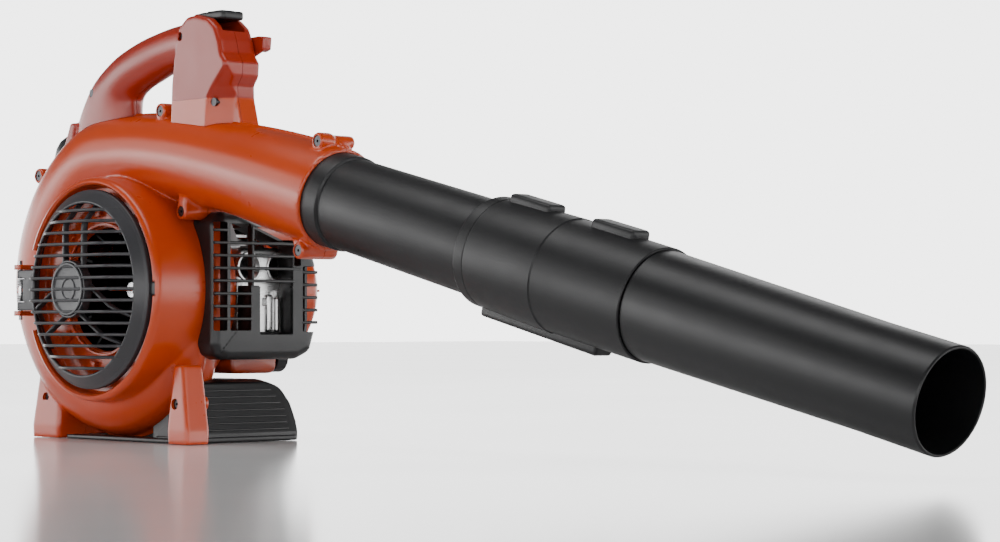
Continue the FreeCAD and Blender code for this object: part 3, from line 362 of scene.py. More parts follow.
def joined(name, parts):
    bm = bmesh.new()
    for part in parts:
        bm.from_mesh(part.data)
        bpy.data.objects.remove(part)
    mesh = bpy.data.meshes.new(name)
    bm.to_mesh(mesh)
    bm.free()
    piece = linked(name, mesh)
    return piece


def combined(piece, others, operation="UNION", keep=False):
    for other in others if isinstance(others, list) else [others]:
        step = piece.modifiers.new("step", "BOOLEAN")
        step.operation = operation
        step.solver = "MANIFOLD"
        step.object = other
    settled(piece)
    if not keep:
        for other in others if isinstance(others, list) else [others]:
            bpy.data.objects.remove(other)
    return piece


def softened(piece, voxel, passes):
    # one skin over overlapping solids, with small fillets where they meet
    step = piece.modifiers.new("skin", "REMESH")
    step.mode = "VOXEL"
    step.voxel_size = voxel
    if passes:
        relax = piece.modifiers.new("relax", "SMOOTH")
        relax.factor = 0.5
        relax.iterations = passes
    return settled(piece)


def coloured(piece, material, body="root", replaced=(), angle=35):
    piece.data.materials.clear()
    piece.data.materials.append(material)
    piece.data.shade_smooth()
    piece.data.set_sharp_from_angle(angle=math.radians(angle))
    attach(piece, body)
    if replaced:
        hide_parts(*replaced)
    return piece


# shared places, taken from the frame
drumLow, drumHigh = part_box("impeller")
crank = Vector(((drumLow.x + drumHigh.x) / 2, 0, (drumLow.z + drumHigh.z) / 2))     # crankshaft axis
tube = dict(drop=math.radians(13.88), height=0.2477)                                # the blow tube's axis
tubeFrame = Matrix.Translation((0, 0, tube["height"])) @ Matrix.Rotation(tube["drop"], 4, "Y")
# local X becomes +Y
aroundCrank = Matrix.Translation((0, 0, crank.z)) @ Matrix.Rotation(math.radians(90), 4, "Z")


def crankPin(name, y0, y1, radius, edge=0, sides=48):
    ends = [crank + Vector((0, y * mm, 0)) for y in (y0, y1)]
    return pin(name, *ends, radius * mm, edge * mm, sides)


def towardIntake(y):
    # local X points out of the intake, towards -Y, from the given y
    return Matrix.Translation((0, y, crank.z)) @ Matrix.Rotation(math.radians(-90), 4, "Z")


print("helpers ready, crank axis at height", round(crank.z, 4))


# fan housing
housing = dict(
    scroll=[(14, 86, 24), (45, 103, 30), (90, 117.5, 34.5), (135, 136, 38), (180, 152, 40), (215, 153, 39),
            # turn clockwise from the front, reach, channel radius
            (245, 151, 36), (270, 142, 33.5)],
    outlet=[(60, 226, 33.5, 8), (120, 216, 35, 11)],              # x, height, channel radius, fall
    spout=[(190, 37.8), (252.4, 39.0)],                           # along the tube, channel radius
    wall=2.6, drum=90.0, front=-54.0, back=28.5, recess=84.0, recessFloor=-37.0, eye=49.0, chamber=(86.0, -34.0,
        25.5),
    lip=6.5, ridge=(1.7, 2.2), seam=0.22, voxel=1.25, relax=5,
    bosses=[(44.5, 264.5, -17, 17), (240, 231, -17, 17), (222.5, 149.5, -21, 14), (79, 183, -22, 24),
            (84.5, 31.5, -30, -2), (-101, 33, -24, 22), (-122, 219, -20, 20)],
    boss=6.6, head=4.4, hinge=(-91.0, -57.5), pocket=33.0)


def easedRows(rows, step):
    # smooth rows between stations, spaced by their length in the first two columns
    rows = np.array(rows, float)
    gaps = np.hypot(*(rows[1:, :2] - rows[:-1, :2]).T)
    at = np.concatenate([[0], np.cumsum(gaps)])
    slopes = np.gradient(rows, at, axis=0)
    out = []
    for i in range(len(rows) - 1):
        n = max(1, int(round(gaps[i] / step)))
        h = at[i + 1] - at[i]
        for k in range(n):
            t = k / n
            out.append((2 * t**3 - 3 * t**2 + 1) * rows[i] + (t**3 - 2 * t**2 + t) * h * slopes[i]
                       + (-2 * t**3 + 3 * t**2) * rows[i + 1] + (t**3 - t**2) * h * slopes[i + 1])
    out.append(rows[-1])
    return out


def channelRows(h, extra=0.0):
    rows = []
    for a, reach, radius in h["scroll"]:
        t = math.radians(a)
        rows.append(((reach - radius) * math.cos(t), crank.z / mm - (reach - radius) * math.sin(t), radius, a))
    for x, z, radius, fall in h["outlet"]:
        rows.append((x, z, radius, 270 + fall))
    for s, radius in h["spout"]:
        s = s + (extra if s > 200 else 0)
        p = tubeFrame @ Vector((s * mm, 0, 0))
        rows.append((p.x / mm, p.z / mm, radius, 270 + math.degrees(tube["drop"])))
    return easedRows(rows, 4.5)


def channelSkin(name, h, grow, extra=0.0, sides=72):
    rings = []
    for x, z, radius, a in channelRows(h, extra):
        t = math.radians(a)
        out = Vector((math.cos(t), 0, -math.sin(t)))
        r = radius + grow
        rings.append([(Vector((x, 0, z)) + out * r * math.cos(k * 2 * math.pi / sides)
                       + Vector((0, r * math.sin(k * 2 * math.pi / sides), 0))) * mm for k in range(sides)])
    return lofted(name, rings)


def ridgeBand(name, h):
    half, tall = h["ridge"]
    rings = []
    for x, z, radius, a in channelRows(h, -0.6):
        t = math.radians(a)
        out = Vector((math.cos(t), 0, -math.sin(t)))
        rings.append([(Vector((x, y, z)) + out * (radius + d)) * mm
                      for y, d in ((-half, -3), (half, -3), (half, tall * 0.7), (half * 0.6, tall),
                          (-half * 0.6, tall),
                                   (-half, tall * 0.7))])
    return lofted(name, rings)


def footBlock(name, low, high, y0, y1, top0, top1, top, corner):
    rings = []
    for k in range(7):
        t = k / 6
        x0, x1 = low[0] + (high[0] - low[0]) * t, low[1] + (high[1] - low[1]) * t
        a, b = y0 + (top0 - y0) * t, y1 + (top1 - y1) * t
        inset = 1.2 if k == 0 else 0
        rings.append([Vector((p[0], p[1], top * t)) * mm
                      for p in boxOutline(x0 + inset, x1 - inset, a + inset, b - inset, corner)])
    return lofted(name, rings)


def buildHousing(h):
    drum = turned("drum", profile(
        [(h["front"], 40, 0), (h["front"], h["drum"], h["lip"]), (h["back"], h["drum"], 7), (h["back"], 40,
            0)], 1, 6),
        aroundCrank, 192)
    hub = crankPin("hub", h["front"] + 0.01, h["back"], 45)
    ring = crankPin("mountRing", 20, 35.9, 34, 1)
    solids = [drum, hub, ring, channelSkin("channel", h, 0.0), ridgeBand("ridge", h),
              footBlock("frontFoot", (74, 103), (80, 92), -33, -9, -30, -9, 62, 3.0),
              footBlock("rearFoot", (-121, -80), (-112, -80), -28, 24, -24, 22, 62, 4.0)]
    for i, (x, z, y0, y1) in enumerate(h["bosses"]):
        neck = y0 + 13 if i < 2 else y1
        solids.append(mmPin("boss", (x, y0, z), (x, neck, z), h["boss"], 0.8))
        if neck < y1:
            solids.append(mmPin("bossNeck", (x, neck - 1, z), (x, y1, z), 5.2, 0.6))
    webs = [([(72.6, 183), (85.4, 183), (84, 214), (79.5, 216)], -21.5, -9),         # web above the side boss
            ([(72.6, 183), (85.4, 183), (90, 205), (70, 205)], -9, 22),
            ([(213, 147), (229, 144), (231, 165), (205, 172)], -16, 11),             # bracket under the spout
            ([(38.2, 264.5), (50.8, 264.5), (58, 248), (30, 248)], -5, 16),
            ([(233.6, 231), (246.4, 231), (240, 215), (225, 215)], -12, 12),
            ([(-128.5, 219), (-117, 225), (-100, 200), (-120, 190)], -14, 16)]
    for outline, y0, y1 in webs:
        solids.append(prism("web", profile(outline, 2.0), y0 * mm, y1 * mm, "y", 0.8 * mm))
    body = joined("fanHousing", solids)
    softened(body, h["voxel"] * mm, h["relax"])
    # guard recess, hinge pocket, screw wells
    recess = turned("recess", profile(
        [(h["recessFloor"], 1e-3, 0), (h["recessFloor"], h["recess"], 3), (h["front"] + 2.2, h["recess"], 1.5),
         (h["front"] - 1, h["recess"] + 3.0, 0), (h["front"] - 6, h["recess"] + 3.0, 0), (h["front"] - 6, 1e-3,
             0)], 1, 5),
        aroundCrank, 192)
    hx, hy = h["hinge"]
    pocket = softBox("pocket", (hx - 6.5) * mm, (hx + 14) * mm, (h["front"] - 8) * mm, (hy + 13) * mm,
                     crank.z - h["pocket"] * mm, crank.z + h["pocket"] * mm, 2.5 * mm, 0.0, "y")
    latchWay = softBox("latchWay", 80 * mm, 87.4 * mm, (h["front"] - 3) * mm, -47.4 * mm, crank.z - 6.2 * mm,
        crank.z + 6.2 * mm,
                       1 * mm, 0.0, "y")
    cutters = [recess, pocket, latchWay]
    for x, z, y0, y1 in h["bosses"]:
        cutters.append(mmPin("well", (x, y0 - 2, z), (x, y0 + 5, z), h["head"]))
        cutters.append(mmPin("bore", (x, y0 + 4, z), (x, y1 - 4, z), 2.6, 0, 24))
    combined(body, cutters, "DIFFERENCE")
    # air space
    r, y0, y1 = h["chamber"]
    chamber = turned("chamber", [(y0 * mm, 1e-3), (y0 * mm, r * mm), (y1 * mm, r * mm), (y1 * mm, 1e-3)],
        aroundCrank, 160)
    eye = turned("eye", profile(
        [(h["recessFloor"] - 4, 1e-3, 0), (h["recessFloor"] - 4, h["eye"] + 5, 0), (h["recessFloor"] - 0.2,
            h["eye"] + 1.4, 2),
         (y0 + 2, h["eye"], 0), (y0 + 2, 1e-3, 0)], 1, 5), aroundCrank, 128)
    shaft = crankPin("shaftWay", 20, 38, 13)
    combined(body, [channelSkin("airWay", h, -h["wall"], 3.0), chamber, eye, shaft], "DIFFERENCE")
    mouth = pin("mouthWay", tubeFrame @ Vector((0.226, 0, 0)), tubeFrame @ Vector((0.27, 0, 0)), 36.5 * mm, 0,
        96)
    combined(body, [mouth], "DIFFERENCE")
    # inlet ring bosses seen through the guard
    lugs = []
    for k in range(9):
        a = 2 * math.pi * k / 9 + 0.3
        c = crank + Vector((64 * mm * math.cos(a), -38 * mm, 64 * mm * math.sin(a)))
        lug = mmBox("lug", -5, 5, -3.0, 3, -4, 4, 1.5, 0.8, "y")
        lug.data.transform(Matrix.Translation(c) @ Matrix.Rotation(-a, 4, "Y"))
        lugs.append(lug)
    rib = turned("inletRib", profile(
        [(-38, 51), (-40.5, 51), (-40.5, 54), (-38, 54)], 1.0), aroundCrank, 128)
    lugs.append(rib)
    knuckles = [softBox("knuckle", (hx - 6) * mm, (hx + 3) * mm, (hy - 3.5) * mm, (hy + 14) * mm,
        crank.z + z0 * mm,
                        crank.z + (z0 + 4) * mm, 2.5 * mm, 0.5 * mm, "z") for z0 in (-21, 17)]
    combined(body, lugs + knuckles, "UNION")
    halves = []
    for name, low, high in (("housingIntakeHalf", -200, -h["seam"]), ("housingEngineHalf", h["seam"], 200)):
        half = linked(name, body.data.copy())
        room = softBox("room", -0.4, 0.4, low * mm, high * mm, -0.1, 0.5, 0.01, 0, "y")
        combined(half, [room], "INTERSECT")
        halves.append(half)
    bpy.data.objects.remove(body)
    coloured(halves[0], orange, "root", ["volute_intake_shell"], 40)
    coloured(halves[1], orange, "root", ["volute_engine_shell"], 40)
    print("housing", [len(x.data.polygons) for x in halves])


buildHousing(housing)


# blow tubes
tubes = dict(wall=2.2, oneStart=234.4, groove=270.2, oneEnd=444.7, oneCollar=36.2, one=(34.7, 35.5),
             two=(427.7, 505.3, 590.0), twoRadius=(40.0, 41.0,
                 39.6), railEnd=548.0, root=568.0, rootRadius=37.05,
             nozzle=(590.5, 774.0, 834.0), nozzleRadius=(37.9, 34.8), side=128)


def tubeSkin(name, outline, t, swell=None):
    return turned(name, profile(outline, 0.8, 4), tubeFrame, t["side"], True, swell)


def buildTubes(t):
    w = t["wall"]
    one = tubeSkin("tubeOne", [
        (t["oneStart"], t["oneCollar"], 0.6), (268.6, t["oneCollar"], 0.8), (269.6, 34.0, 0.4), (271.2, 34.0,
            0.4),
        (272.0, t["one"][0], 0.6), (t["oneEnd"], t["one"][1], 0.8), (t["oneEnd"], t["one"][1] - w, 0.6),
        (274, t["one"][0] - w, 1), (t["oneStart"], t["oneCollar"] - w, 0.6)], t)
    coloured(one, tubeBlack, "root", ["tube_1"])
    a, b, c = t["two"]
    ra, rb, rc = t["twoRadius"]

    def mouldLine(s, angle):
        # a fine raised line along both sides of the tube
        away = abs(math.sin(angle) ** 2 - 1) ** 0.5
        return 0.00022 if away < 0.012 and s > 0.435 else 0.0
    two = tubeSkin("tubeTwo", [
        (a, ra - 0.4, 0), (a + 0.9, ra, 0.7), (a + 9, ra, 0.2), (a + 9.4, ra - 0.35, 0.2), (a + 10.2, ra - 0.35,
            0.2),
        (a + 10.6, ra, 0.2), (b, rb, 0.5), (b + 0.9, rb - 0.8, 0.4), (c - 0.6, rc, 0.5), (c, rc - 0.6, 0.3), (c,
            rc - w, 0.3),
        (567.6, rc - w, 0), (b, rb - w, 3), (452.7, ra - w, 2), (445.7, 35.85, 1), (a, 35.85,
            0.4)], t, mouldLine)
    parts = []
    for s in (a + 14, b + 18):
        lug = mmBox("lug", s, s + 40, -9, 9, 30, 45.1, 3.6, 2.4, "x")
        parts.append(lug)
    parts.append(mmBox("rail", a + 4, t["railEnd"], -8.8, 8.8, -45.4, -30, 3.4, 2.4))
    for part in parts:
        part.data.transform(tubeFrame)
    hollow = pin("hollow", tubeFrame @ Vector((0.42, 0, 0)), tubeFrame @ Vector((0.6, 0, 0)), 38.4 * mm, 0, 96)
    for part in parts:
        combined(part, [hollow], "DIFFERENCE", keep=True)
    bpy.data.objects.remove(hollow)
    combined(two, parts, "UNION")
    coloured(two, tubeBlack, "tube_2", ["tube_2"], 30)
    s0, s1, s2 = t["nozzle"]
    r0, r1 = t["nozzleRadius"]
    nozzle = tubeSkin("nozzle", [
        (t["root"], t["rootRadius"], 0.5), (s0 - 0.1, t["rootRadius"], 0), (s0, r0 - 0.3, 0.2), (s0 + 0.6, r0,
            0.4),
        (s1, r1, 20), (s2 - 1.2, r1, 0.6), (s2, r1 - 0.8, 0.5), (s2, r1 - w + 0.4, 0.4), (s2 - 0.6, r1 - w,
            0.4),
        (s1, r1 - w, 10), (t["root"], t["rootRadius"] - w, 0.5)], t)
    coloured(nozzle, nozzleBlack, "nozzle", ["nozzle"])
    print("tubes", len(two.data.polygons))


buildTubes(tubes)


# intake guard
guard = dict(radius=80.0, plane=-52.0, rise=22.0, flat=54.0, skirt=70.0, slats=15, pitch=9.0, slat=2.5,
    depth=5.0, badge=21.0,
             arms=(90, -30, 210), armHalf=12.7, hinge=(-91.0, -57.5), leaf=16.6, notch=9.9)
domePath = np.array(rounded([(0, 22), (54, 22, 12), (70, 8, 3), (80, 0), (90, -1)], 1, 8, closed=False))


def domeDepth(r):
    return float(np.interp(r, domePath[:, 0], domePath[:, 1]))


def sweptBar(name, g, at, ends, half, front, back, steps=44):
    # a bar that follows the dome; at(t) gives its place across the guard
    rings = []
    for k in range(steps + 1):
        t = ends[0] + (ends[1] - ends[0]) * k / steps
        x, z, across = at(t)
        depth = domeDepth(math.hypot(x, z))
        y0, y1 = g["plane"] - depth - front, g["plane"] - depth + back
        ring = []
        for q, y in ((-half, y1 - 0.6), (-half, y0 + 1.0), (-half * 0.7, y0 + 0.3), (0, y0), (half * 0.7,
            y0 + 0.3),
                     (half, y0 + 1.0), (half, y1 - 0.6), (half * 0.6, y1), (-half * 0.6, y1)):
            ring.append(Vector(((x + across[0] * q) * mm, y * mm, crank.z + (z + across[1] * q) * mm)))
        rings.append(ring)
    return lofted(name, rings)


def buildGuard(g):
    parts = []
    skirt = turned("skirt", profile(
        [(-3, 76, 0.8), (-3, 80, 0.8), (1.6, 80, 1.4), (3.0, 77.5, 1.0), (8.8, 70.2, 1.6), (8.0, 68.6, 0.6),
         (5.2, 69.4, 0.6), (-0.6, 76, 0.5)], 1, 5), towardIntake(g["plane"] * mm), 160)
    parts.append(skirt)
    for i in range(g["slats"]):
        h = (i - (g["slats"] - 1) / 2) * g["pitch"]
        reach = math.sqrt(76.5 ** 2 - h * h)
        parts.append(sweptBar("slat", g, lambda t, h=h: (t, h, (0, 1)), (-reach, reach), g["slat"] / 2, 0.9,
            g["depth"] - 0.6))
    for arm in g["arms"]:
        c, s = math.cos(math.radians(arm)), math.sin(math.radians(arm))
        for side in (-1, 1):
            o = side * g["armHalf"]
            parts.append(sweptBar("arm", g, lambda t, c=c, s=s, o=o: (t * c - o * s, t * s + o * c, (-s, c)),
                                  (6, math.sqrt(73.0 ** 2 - o * o)), 1.2, -4.0, 9.5))
    seat = turned("badgeSeat", profile(
        [(14, 1e-3, 0), (14, 23, 0.8), (22, 23, 0.8), (22, 21.4, 0.4), (20.4, 21.4, 0.2), (20.4, 1e-3,
            0)], 1, 4),
        towardIntake(g["plane"] * mm), 96)
    parts.append(seat)
    hx, hy = g["hinge"]
    leafOutline = rounded([(hx - 1, -g["leaf"]), (-68, -g["leaf"]), (-68, g["leaf"]), (hx - 1, g["leaf"]),
        (hx - 1, g["notch"]),
                           (hx + 6, g["notch"]), (hx + 6, -g["notch"]), (hx - 1, -g["notch"])], 1.5)
    parts.append(prism("leaf", [(x * mm, crank.z + z * mm) for x, z in leafOutline], (hy - 2.6) * mm,
        (hy + 2.8) * mm, "y", 1 * mm))
    for z0, z1 in ((-g["leaf"], -g["notch"]), (g["notch"], g["leaf"])):
        parts.append(pin("knuckle", (hx * mm, hy * mm, crank.z + z0 * mm), (hx * mm, hy * mm,
            crank.z + z1 * mm), 2.9 * mm, 0.5 * mm))
    body = joined("intakeGuard", parts)
    coloured(body, guardGrey, "guard", ["intake_guard"], 32)
    badge = turned("guardBadge", profile(
        [(20.6, 1e-3, 0), (20.6, 21, 0.2), (23.2, 21, 0.7), (23.2, 19.2, 0.7), (21.6, 18.4, 0.6), (21.3, 9.6,
            0.4),
         (22.2, 9.2, 0.3), (22.2, 8.0, 0.3), (21.4, 7.4, 0.3), (21.8, 1e-3,
             0)], 1, 4), towardIntake(g["plane"] * mm), 96)
    coloured(badge, guardGrey, "guard", ["guard_badge"], 32)
    hinge = pin("hingePin", (hx * mm, hy * mm, crank.z - 0.0245), (hx * mm, hy * mm, crank.z + 0.0245),
        1.6 * mm, 0.4 * mm)
    coloured(hinge, brightSteel, "root", ["guard_hinge_pin"])
    # double torsion spring: one wire, two coils and a loop between them
    path = []
    turns, wire = 4, 0.62
    for side in (1, -1):
        coil = []
        for k in range(turns * 20 + 1):
            a = 2 * math.pi * k / 20 + math.pi
            coil.append(Vector((hx + 2.75 * math.cos(a), hy + 2.75 * math.sin(a) * side,
                3.6 + 5.6 * k / (turns * 20))))
        tail = [Vector((hx + 0.5, hy - 2.9, 9.4)), Vector((hx + 7, hy - 3.1, 9.5)), Vector((hx + 10.5, hy - 3.1,
            9.5))]
        run = [Vector((hx - 4.4, hy - 1, 0.8)), Vector((hx - 4.0, hy - 0.8, 2.4))] + coil + tail
        path = [Vector((p.x, p.y, -p.z)) for p in reversed(run)] + path if side == -1 else run
    curve = bpy.data.curves.new("springPath", "CURVE")
    curve.dimensions = "3D"
    line = curve.splines.new("NURBS")
    line.points.add(len(path) - 1)
    for point, p in zip(line.points, path):
        point.co = (p.x * mm, p.y * mm, crank.z + p.z * mm, 1)
    line.order_u = 3
    line.use_endpoint_u = True
    line.resolution_u = 4
    curve.bevel_depth = wire * mm
    curve.bevel_resolution = 3
    curve.use_fill_caps = True
    spring = linked("springCurve", curve)
    solid = linked("guardSpring", bpy.data.meshes.new_from_object(spring))
    bpy.data.objects.remove(spring)
    coloured(solid, brightSteel, "guard", ["guard_spring"], 60)
    tongue = softBox("tongue", 75 * mm, 85.8 * mm, -51.7 * mm, -48.5 * mm, crank.z - 4.9 * mm,
        crank.z + 4.9 * mm, 1 * mm, 0.6 * mm, "y")
    pad = softBox("pad", 58.2 * mm, 76 * mm, -53.2 * mm, -48.5 * mm, crank.z - 4.9 * mm, crank.z + 4.9 * mm,
        1.6 * mm, 0.8 * mm, "y")
    grips = [softBox("grip", x * mm, (x + 1.2) * mm, -53.9 * mm, -52.6 * mm, crank.z - 4 * mm, crank.z + 4 * mm,
        0.5 * mm, 0.4 * mm, "y")
             for x in (61, 64, 67, 70)]
    coloured(joined("guardLatch", [tongue, pad] + grips), blackPlastic, "latch", ["guard_latch"],
        32)
    print("guard", len(body.data.polygons))


buildGuard(guard)


# handle
handle = dict(
    stations=[(-90, 246, -6, 246, 16), (-80, 268, -9, 268, 16.5), (-61, 292, -9, 279, 17), (-35, 310, 0, 285,
        17),
              # upper point, lower point, half width
              (-3, 322.5, 18, 291, 17), (34, 330.7, 42, 298, 16.2), (84, 336, 84, 302, 16.2)],
    front=[(131, 246), (124, 271), (123.5, 281), (129, 288), (130, 299), (124.5, 306), (122, 316), (117, 327),
        (108, 334),
           (92, 338), (80, 337)],
    rear=[(70, 330), (63, 305), (60, 284), (59, 262), (58, 246)],
    half=18.0, wall=2.6, joint=271.0, voxel=1.05, relax=4,
    # height, x where the flank ends
    crease=[(238, 104), (262, 106), (272, 107), (280, 113), (288, 121), (294, 127), (300, 134)],
    screws=[(-52, 285), (72, 322), (112, 268)], pivot=(72.0, 308.0), trigger=7.0, switch=(86.0, 119.0, 333.0))


def gripSkin(name, h, shrink, sides=64):
    rows = easedRows([((a + c) / 2, (b + d) / 2, a, b, c, d, w) for a, b, c, d, w in h["stations"]], 4.0)
    rings = []
    for _, _, a, b, c, d, w in rows:
        high, low = Vector((a, 0, b)), Vector((c, 0, d))
        middle, major = (high + low) / 2, (high - low) / 2
        along = major.length - shrink
        major.normalize()
        ring = []
        for k in range(sides):
            t = 2 * math.pi * k / sides
            u, v = math.cos(t), math.sin(t)
            fat = (abs(u) ** 2.25 + abs(v) ** 2.25) ** (-1 / 2.25)
            ring.append((middle + major * along * u * fat + Vector((0, (w - shrink) * v * fat, 0))) * mm)
        rings.append(ring)
    return lofted(name, rings)


def buildHandle(h):
    outline = profile(h["front"] + h["rear"], 4.0, 4)
    post = prism("post", outline, -h["half"] * mm, h["half"] * mm, "y", 3.2 * mm, 4)
    rings = [[Vector((x * mm, y * mm, z * mm)) for x, y in ((c, -20.5), (c, -17.2), (c + 15, -1.5), (160, -1.5),
        (160, -20.5))]
             for z, c in h["crease"]]
    combined(post, [lofted("flankCut", rings)], "DIFFERENCE")
    groove = pin("groove", (0.1365, -0.0085, 0.3050), (0.1240, -0.0075, 0.342), 0.0085, 0.004)
    combined(post, [groove], "DIFFERENCE")
    x0, x1, low = h["switch"]
    step = mmBox("step", 78, 92, -9, 9, 328, 340, 2, 1, "z")
    tab = mmBox("tab", -14, -4, -20, -12, 246, 252.5, 1.5, 0.8, "z")
    collar = prism("collar", profile([(-96, 240), (-84, 240), (-78, 262), (-86, 262)], 2),
                   -13 * mm, 13 * mm, "y", 1.5 * mm)
    body = joined("handle", [gripSkin("grip", h, 0.0), post, step, tab, collar])
    softened(body, h["voxel"] * mm, h["relax"])
    room = gripSkin("gripRoom", h, h["wall"])
    inner = prism("postRoom", profile(
        [(102, 240), (103, 272), (108, 284), (116, 296), (116, 305), (110, 322), (100, 331), (82, 331), (74,
            327),
         (66, 305), (63, 284), (61, 240)], 2), -12.4 * mm, 12.4 * mm, "y")
    clear = channelSkin("clear", housing, 0.25)
    drum = pin("drumClear", crank + Vector((0, -0.054, 0)), crank + Vector((0, 0.0285, 0)), 0.0905, 0, 96)
    combined(body, [room, inner, clear, drum], "DIFFERENCE")
    slots = [mmBox("triggerWay", 48, 80, -7.6, 7.6, 281, 309, 1.5, 0, "x"),
             mmBox("switchWay", x0 - 0.4, x1 + 0.4, -11.4, 11.4, low - 9, low + 12, 3, 0, "z"),
             pin("bossClear", (44.5 * mm, -0.018, 264.5 * mm), (44.5 * mm, 0.018, 264.5 * mm), 7.2 * mm)]
    for x, z in h["screws"]:
        slots.append(pin("well", (x * mm, -0.022, z * mm), (x * mm, -0.0125, z * mm), 3.7 * mm))
    # the joint line between the housing's foot and the handle above it
    slots.append(mmBox("jointLine", 52, 117, -19, -17.4, h["joint"] - 0.35, h["joint"] + 0.35, 0.1, 0, "z"))
    combined(body, slots, "DIFFERENCE")
    for name, cad, near, far in (("handleLeftHalf", "handle_left_half", -0.2, -0.0002), ("handleRightHalf",
        "handle_right_half", 0.0002, 0.2)):
        half = linked(name, body.data.copy())
        combined(half, [softBox("room", -0.3, 0.3, near, far, 0, 0.5, 0.01, 0, "y")], "INTERSECT")
        coloured(half, handleOrange, "root", [cad], 40)
        half.data.materials.append(orange)
        for face in half.data.polygons:
            if face.center.x > 0.05 and face.center.z < h["joint"] * mm:
                face.material_index = 1
    bpy.data.objects.remove(body)
    px, pz = h["pivot"]
    t = h["trigger"] - 0.4
    side = rounded([(px + 5, pz + 3), (px - 4, pz + 4.6), (px - 14, pz - 2), (px - 20.6, pz - 7), (px - 21,
        pz - 14),
                    (px - 18, pz - 22), (px - 11, pz - 24), (px - 7, pz - 17), (px - 5, pz - 8), (px + 5,
                        pz - 3)], 2.5)
    trigger = [prism("trigger", [(x * mm, z * mm) for x, z in side], -t * mm, t * mm, "y", 1.2 * mm)]
    for k in range(4):
        y = (-4.8 + 3.2 * k)
        rib = [(px - 17.0, pz - 22.5), (px - 20.6, pz - 15), (px - 20.9, pz - 8.5), (px - 16.5, pz - 4.5),
            (px - 14, pz - 10), (px - 14, pz - 20)]
        trigger.append(prism("rib", [((x - 0.55) * mm, z * mm) for x, z in rounded(rib, 1.5)], (y - 0.7) * mm,
            (y + 0.7) * mm, "y", 0.5 * mm))
    coloured(joined("throttleTrigger", trigger), handleOrange, "trigger", ["throttle_trigger"])
    pad = [mmBox("rocker", x0 + 0.3, x1 - 0.3, -10.8, 10.8, low + 0.2, low + 7.0, 4, 1.8, "z"),
           mmBox("raised", x0 + 6, x1 - 7, -7, 7, low + 5, low + 8.0, 3, 0.9, "z")]
    coloured(joined("stopSwitch", pad), blackPlastic, "switch", ["stop_switch"])
    print("handle ready")


buildHandle(handle)


# muffler and its cover
cover = dict(back=64.0, front=102.0, left=-6.0, right=100.0, low=66.0, highLeft=183.0, highRight=157.0,
    wall=2.4,
             heights=[98.4, 108.4, 118.4, 128.6, 138.6, 148.6, 158.6, 168.6], slat=1.25, rightHeights=[95.6,
                 105.6, 115.8, 126.0, 136.2])


def buildCover(c):
    l, r, b, f = c["left"], c["right"], c["low"], c["front"]
    outline = [(l, b + 12, 9), (l + 4, b + 3, 5), (l + 14, b, 8), (r - 20, b, 12), (r - 6, b + 6, 10), (r,
        b + 24, 16),
               (r, c["highRight"] - 14, 8), (r - 5, c["highRight"] - 2, 6), (r - 15, c["highRight"] + 1, 5),
               (l + 24, c["highLeft"], 10), (l + 8, c["highLeft"], 8), (l, c["highLeft"] - 9, 8)]
    path = rounded(outline, 5, 6)
    shell = prism("coverShell", [(y * mm, z * mm) for y, z in path], (c["back"] - 12) * mm, f * mm, "x", 7 * mm,
        6)
    corners = np.array(path)
    middle = corners.mean(0)
    inner = [tuple(middle + (p - middle) * np.array([1 - c["wall"] / 53, 1 - c["wall"] / 58])) for p in corners]
    room = prism("coverRoom", [(y * mm, z * mm) for y, z in inner], (c["back"] - 30) * mm, (f - c["wall"]) * mm,
        "x", 5 * mm, 4)
    trim = mmBox("backTrim", 20, c["back"], -60, 150, 30, 220, 1, 0, "x")

    def window(y0, y1, z0, z1, radius=1.5, depth=14):
        return mmBox("window", f - depth, f + 4, y0, y1, z0, z1, radius, 0, "x")
    holes = [window(-4.6, 7.0, 89.0, 175.0), window(10.0, 31.0, 89.0, 174.0), window(31.0, 74.0, 124.0, 172.0),
             window(40.0, 74.0, 85.6, 124.0), window(73.0, 82.0, 141.0, 160.0), window(84.0, 96.0, 88.0, 141.0)]
    holes.append(mmBox("sideWindow", 88, f + 4, 92, 104, 88, 141, 1, 0, "x"))
    combined(shell, [room, trim] + holes, "DIFFERENCE")
    drum = pin("drumClear", crank + Vector((0, -0.02, 0)), crank + Vector((0, 0.042, 0)), 0.0906, 0, 128)
    bossClear = pin("bossClear", (79 * mm, -0.03, 183 * mm), (79 * mm, 0.026, 183 * mm), 7.4 * mm)
    combined(shell, [drum, channelSkin("clear", housing, 0.3), bossClear], "DIFFERENCE")
    bars = []

    def bar(y0, y1, z, x0=99.0, x1=102.2, half=c["slat"]):
        bars.append(mmBox("slat", x0, x1, y0, y1, z - half, z + half, 0.9, 0.9, "y"))
    for i, z in enumerate(c["heights"]):
        bar(-5.4, 8.5 if i == 7 else (32 if i < 3 else (76 if i != 4 else 83)), z)
    for z in c["rightHeights"]:
        bar(82.5, 100.0, z, 92.0, 102.0)
    for y0, y1, z0, z1, x0 in ((7.0, 10.0, 88, 176, 92), (31.0, 40.0, 84, 125, 84), (32.4, 34.4, 124, 173, 95),
        (80.4, 84.0, 86, 142, 90),
                               (74.0, 75.6, 86, 162, 82)):
        bars.append(mmBox("post", x0, f - 0.3, y0, y1, z0, z1, 0.8, 0.8, "x"))
    bars.append(mmBox("sill", 84, f - 0.3, 38, 76, 83.6, 86.2, 0.8, 0.6, "x"))
    piece = joined("mufflerCover", [shell, joined("bars", bars)])
    coloured(piece, blackPlastic, "root", ["muffler_cover"], 35)
    print("cover", len(piece.data.polygons))


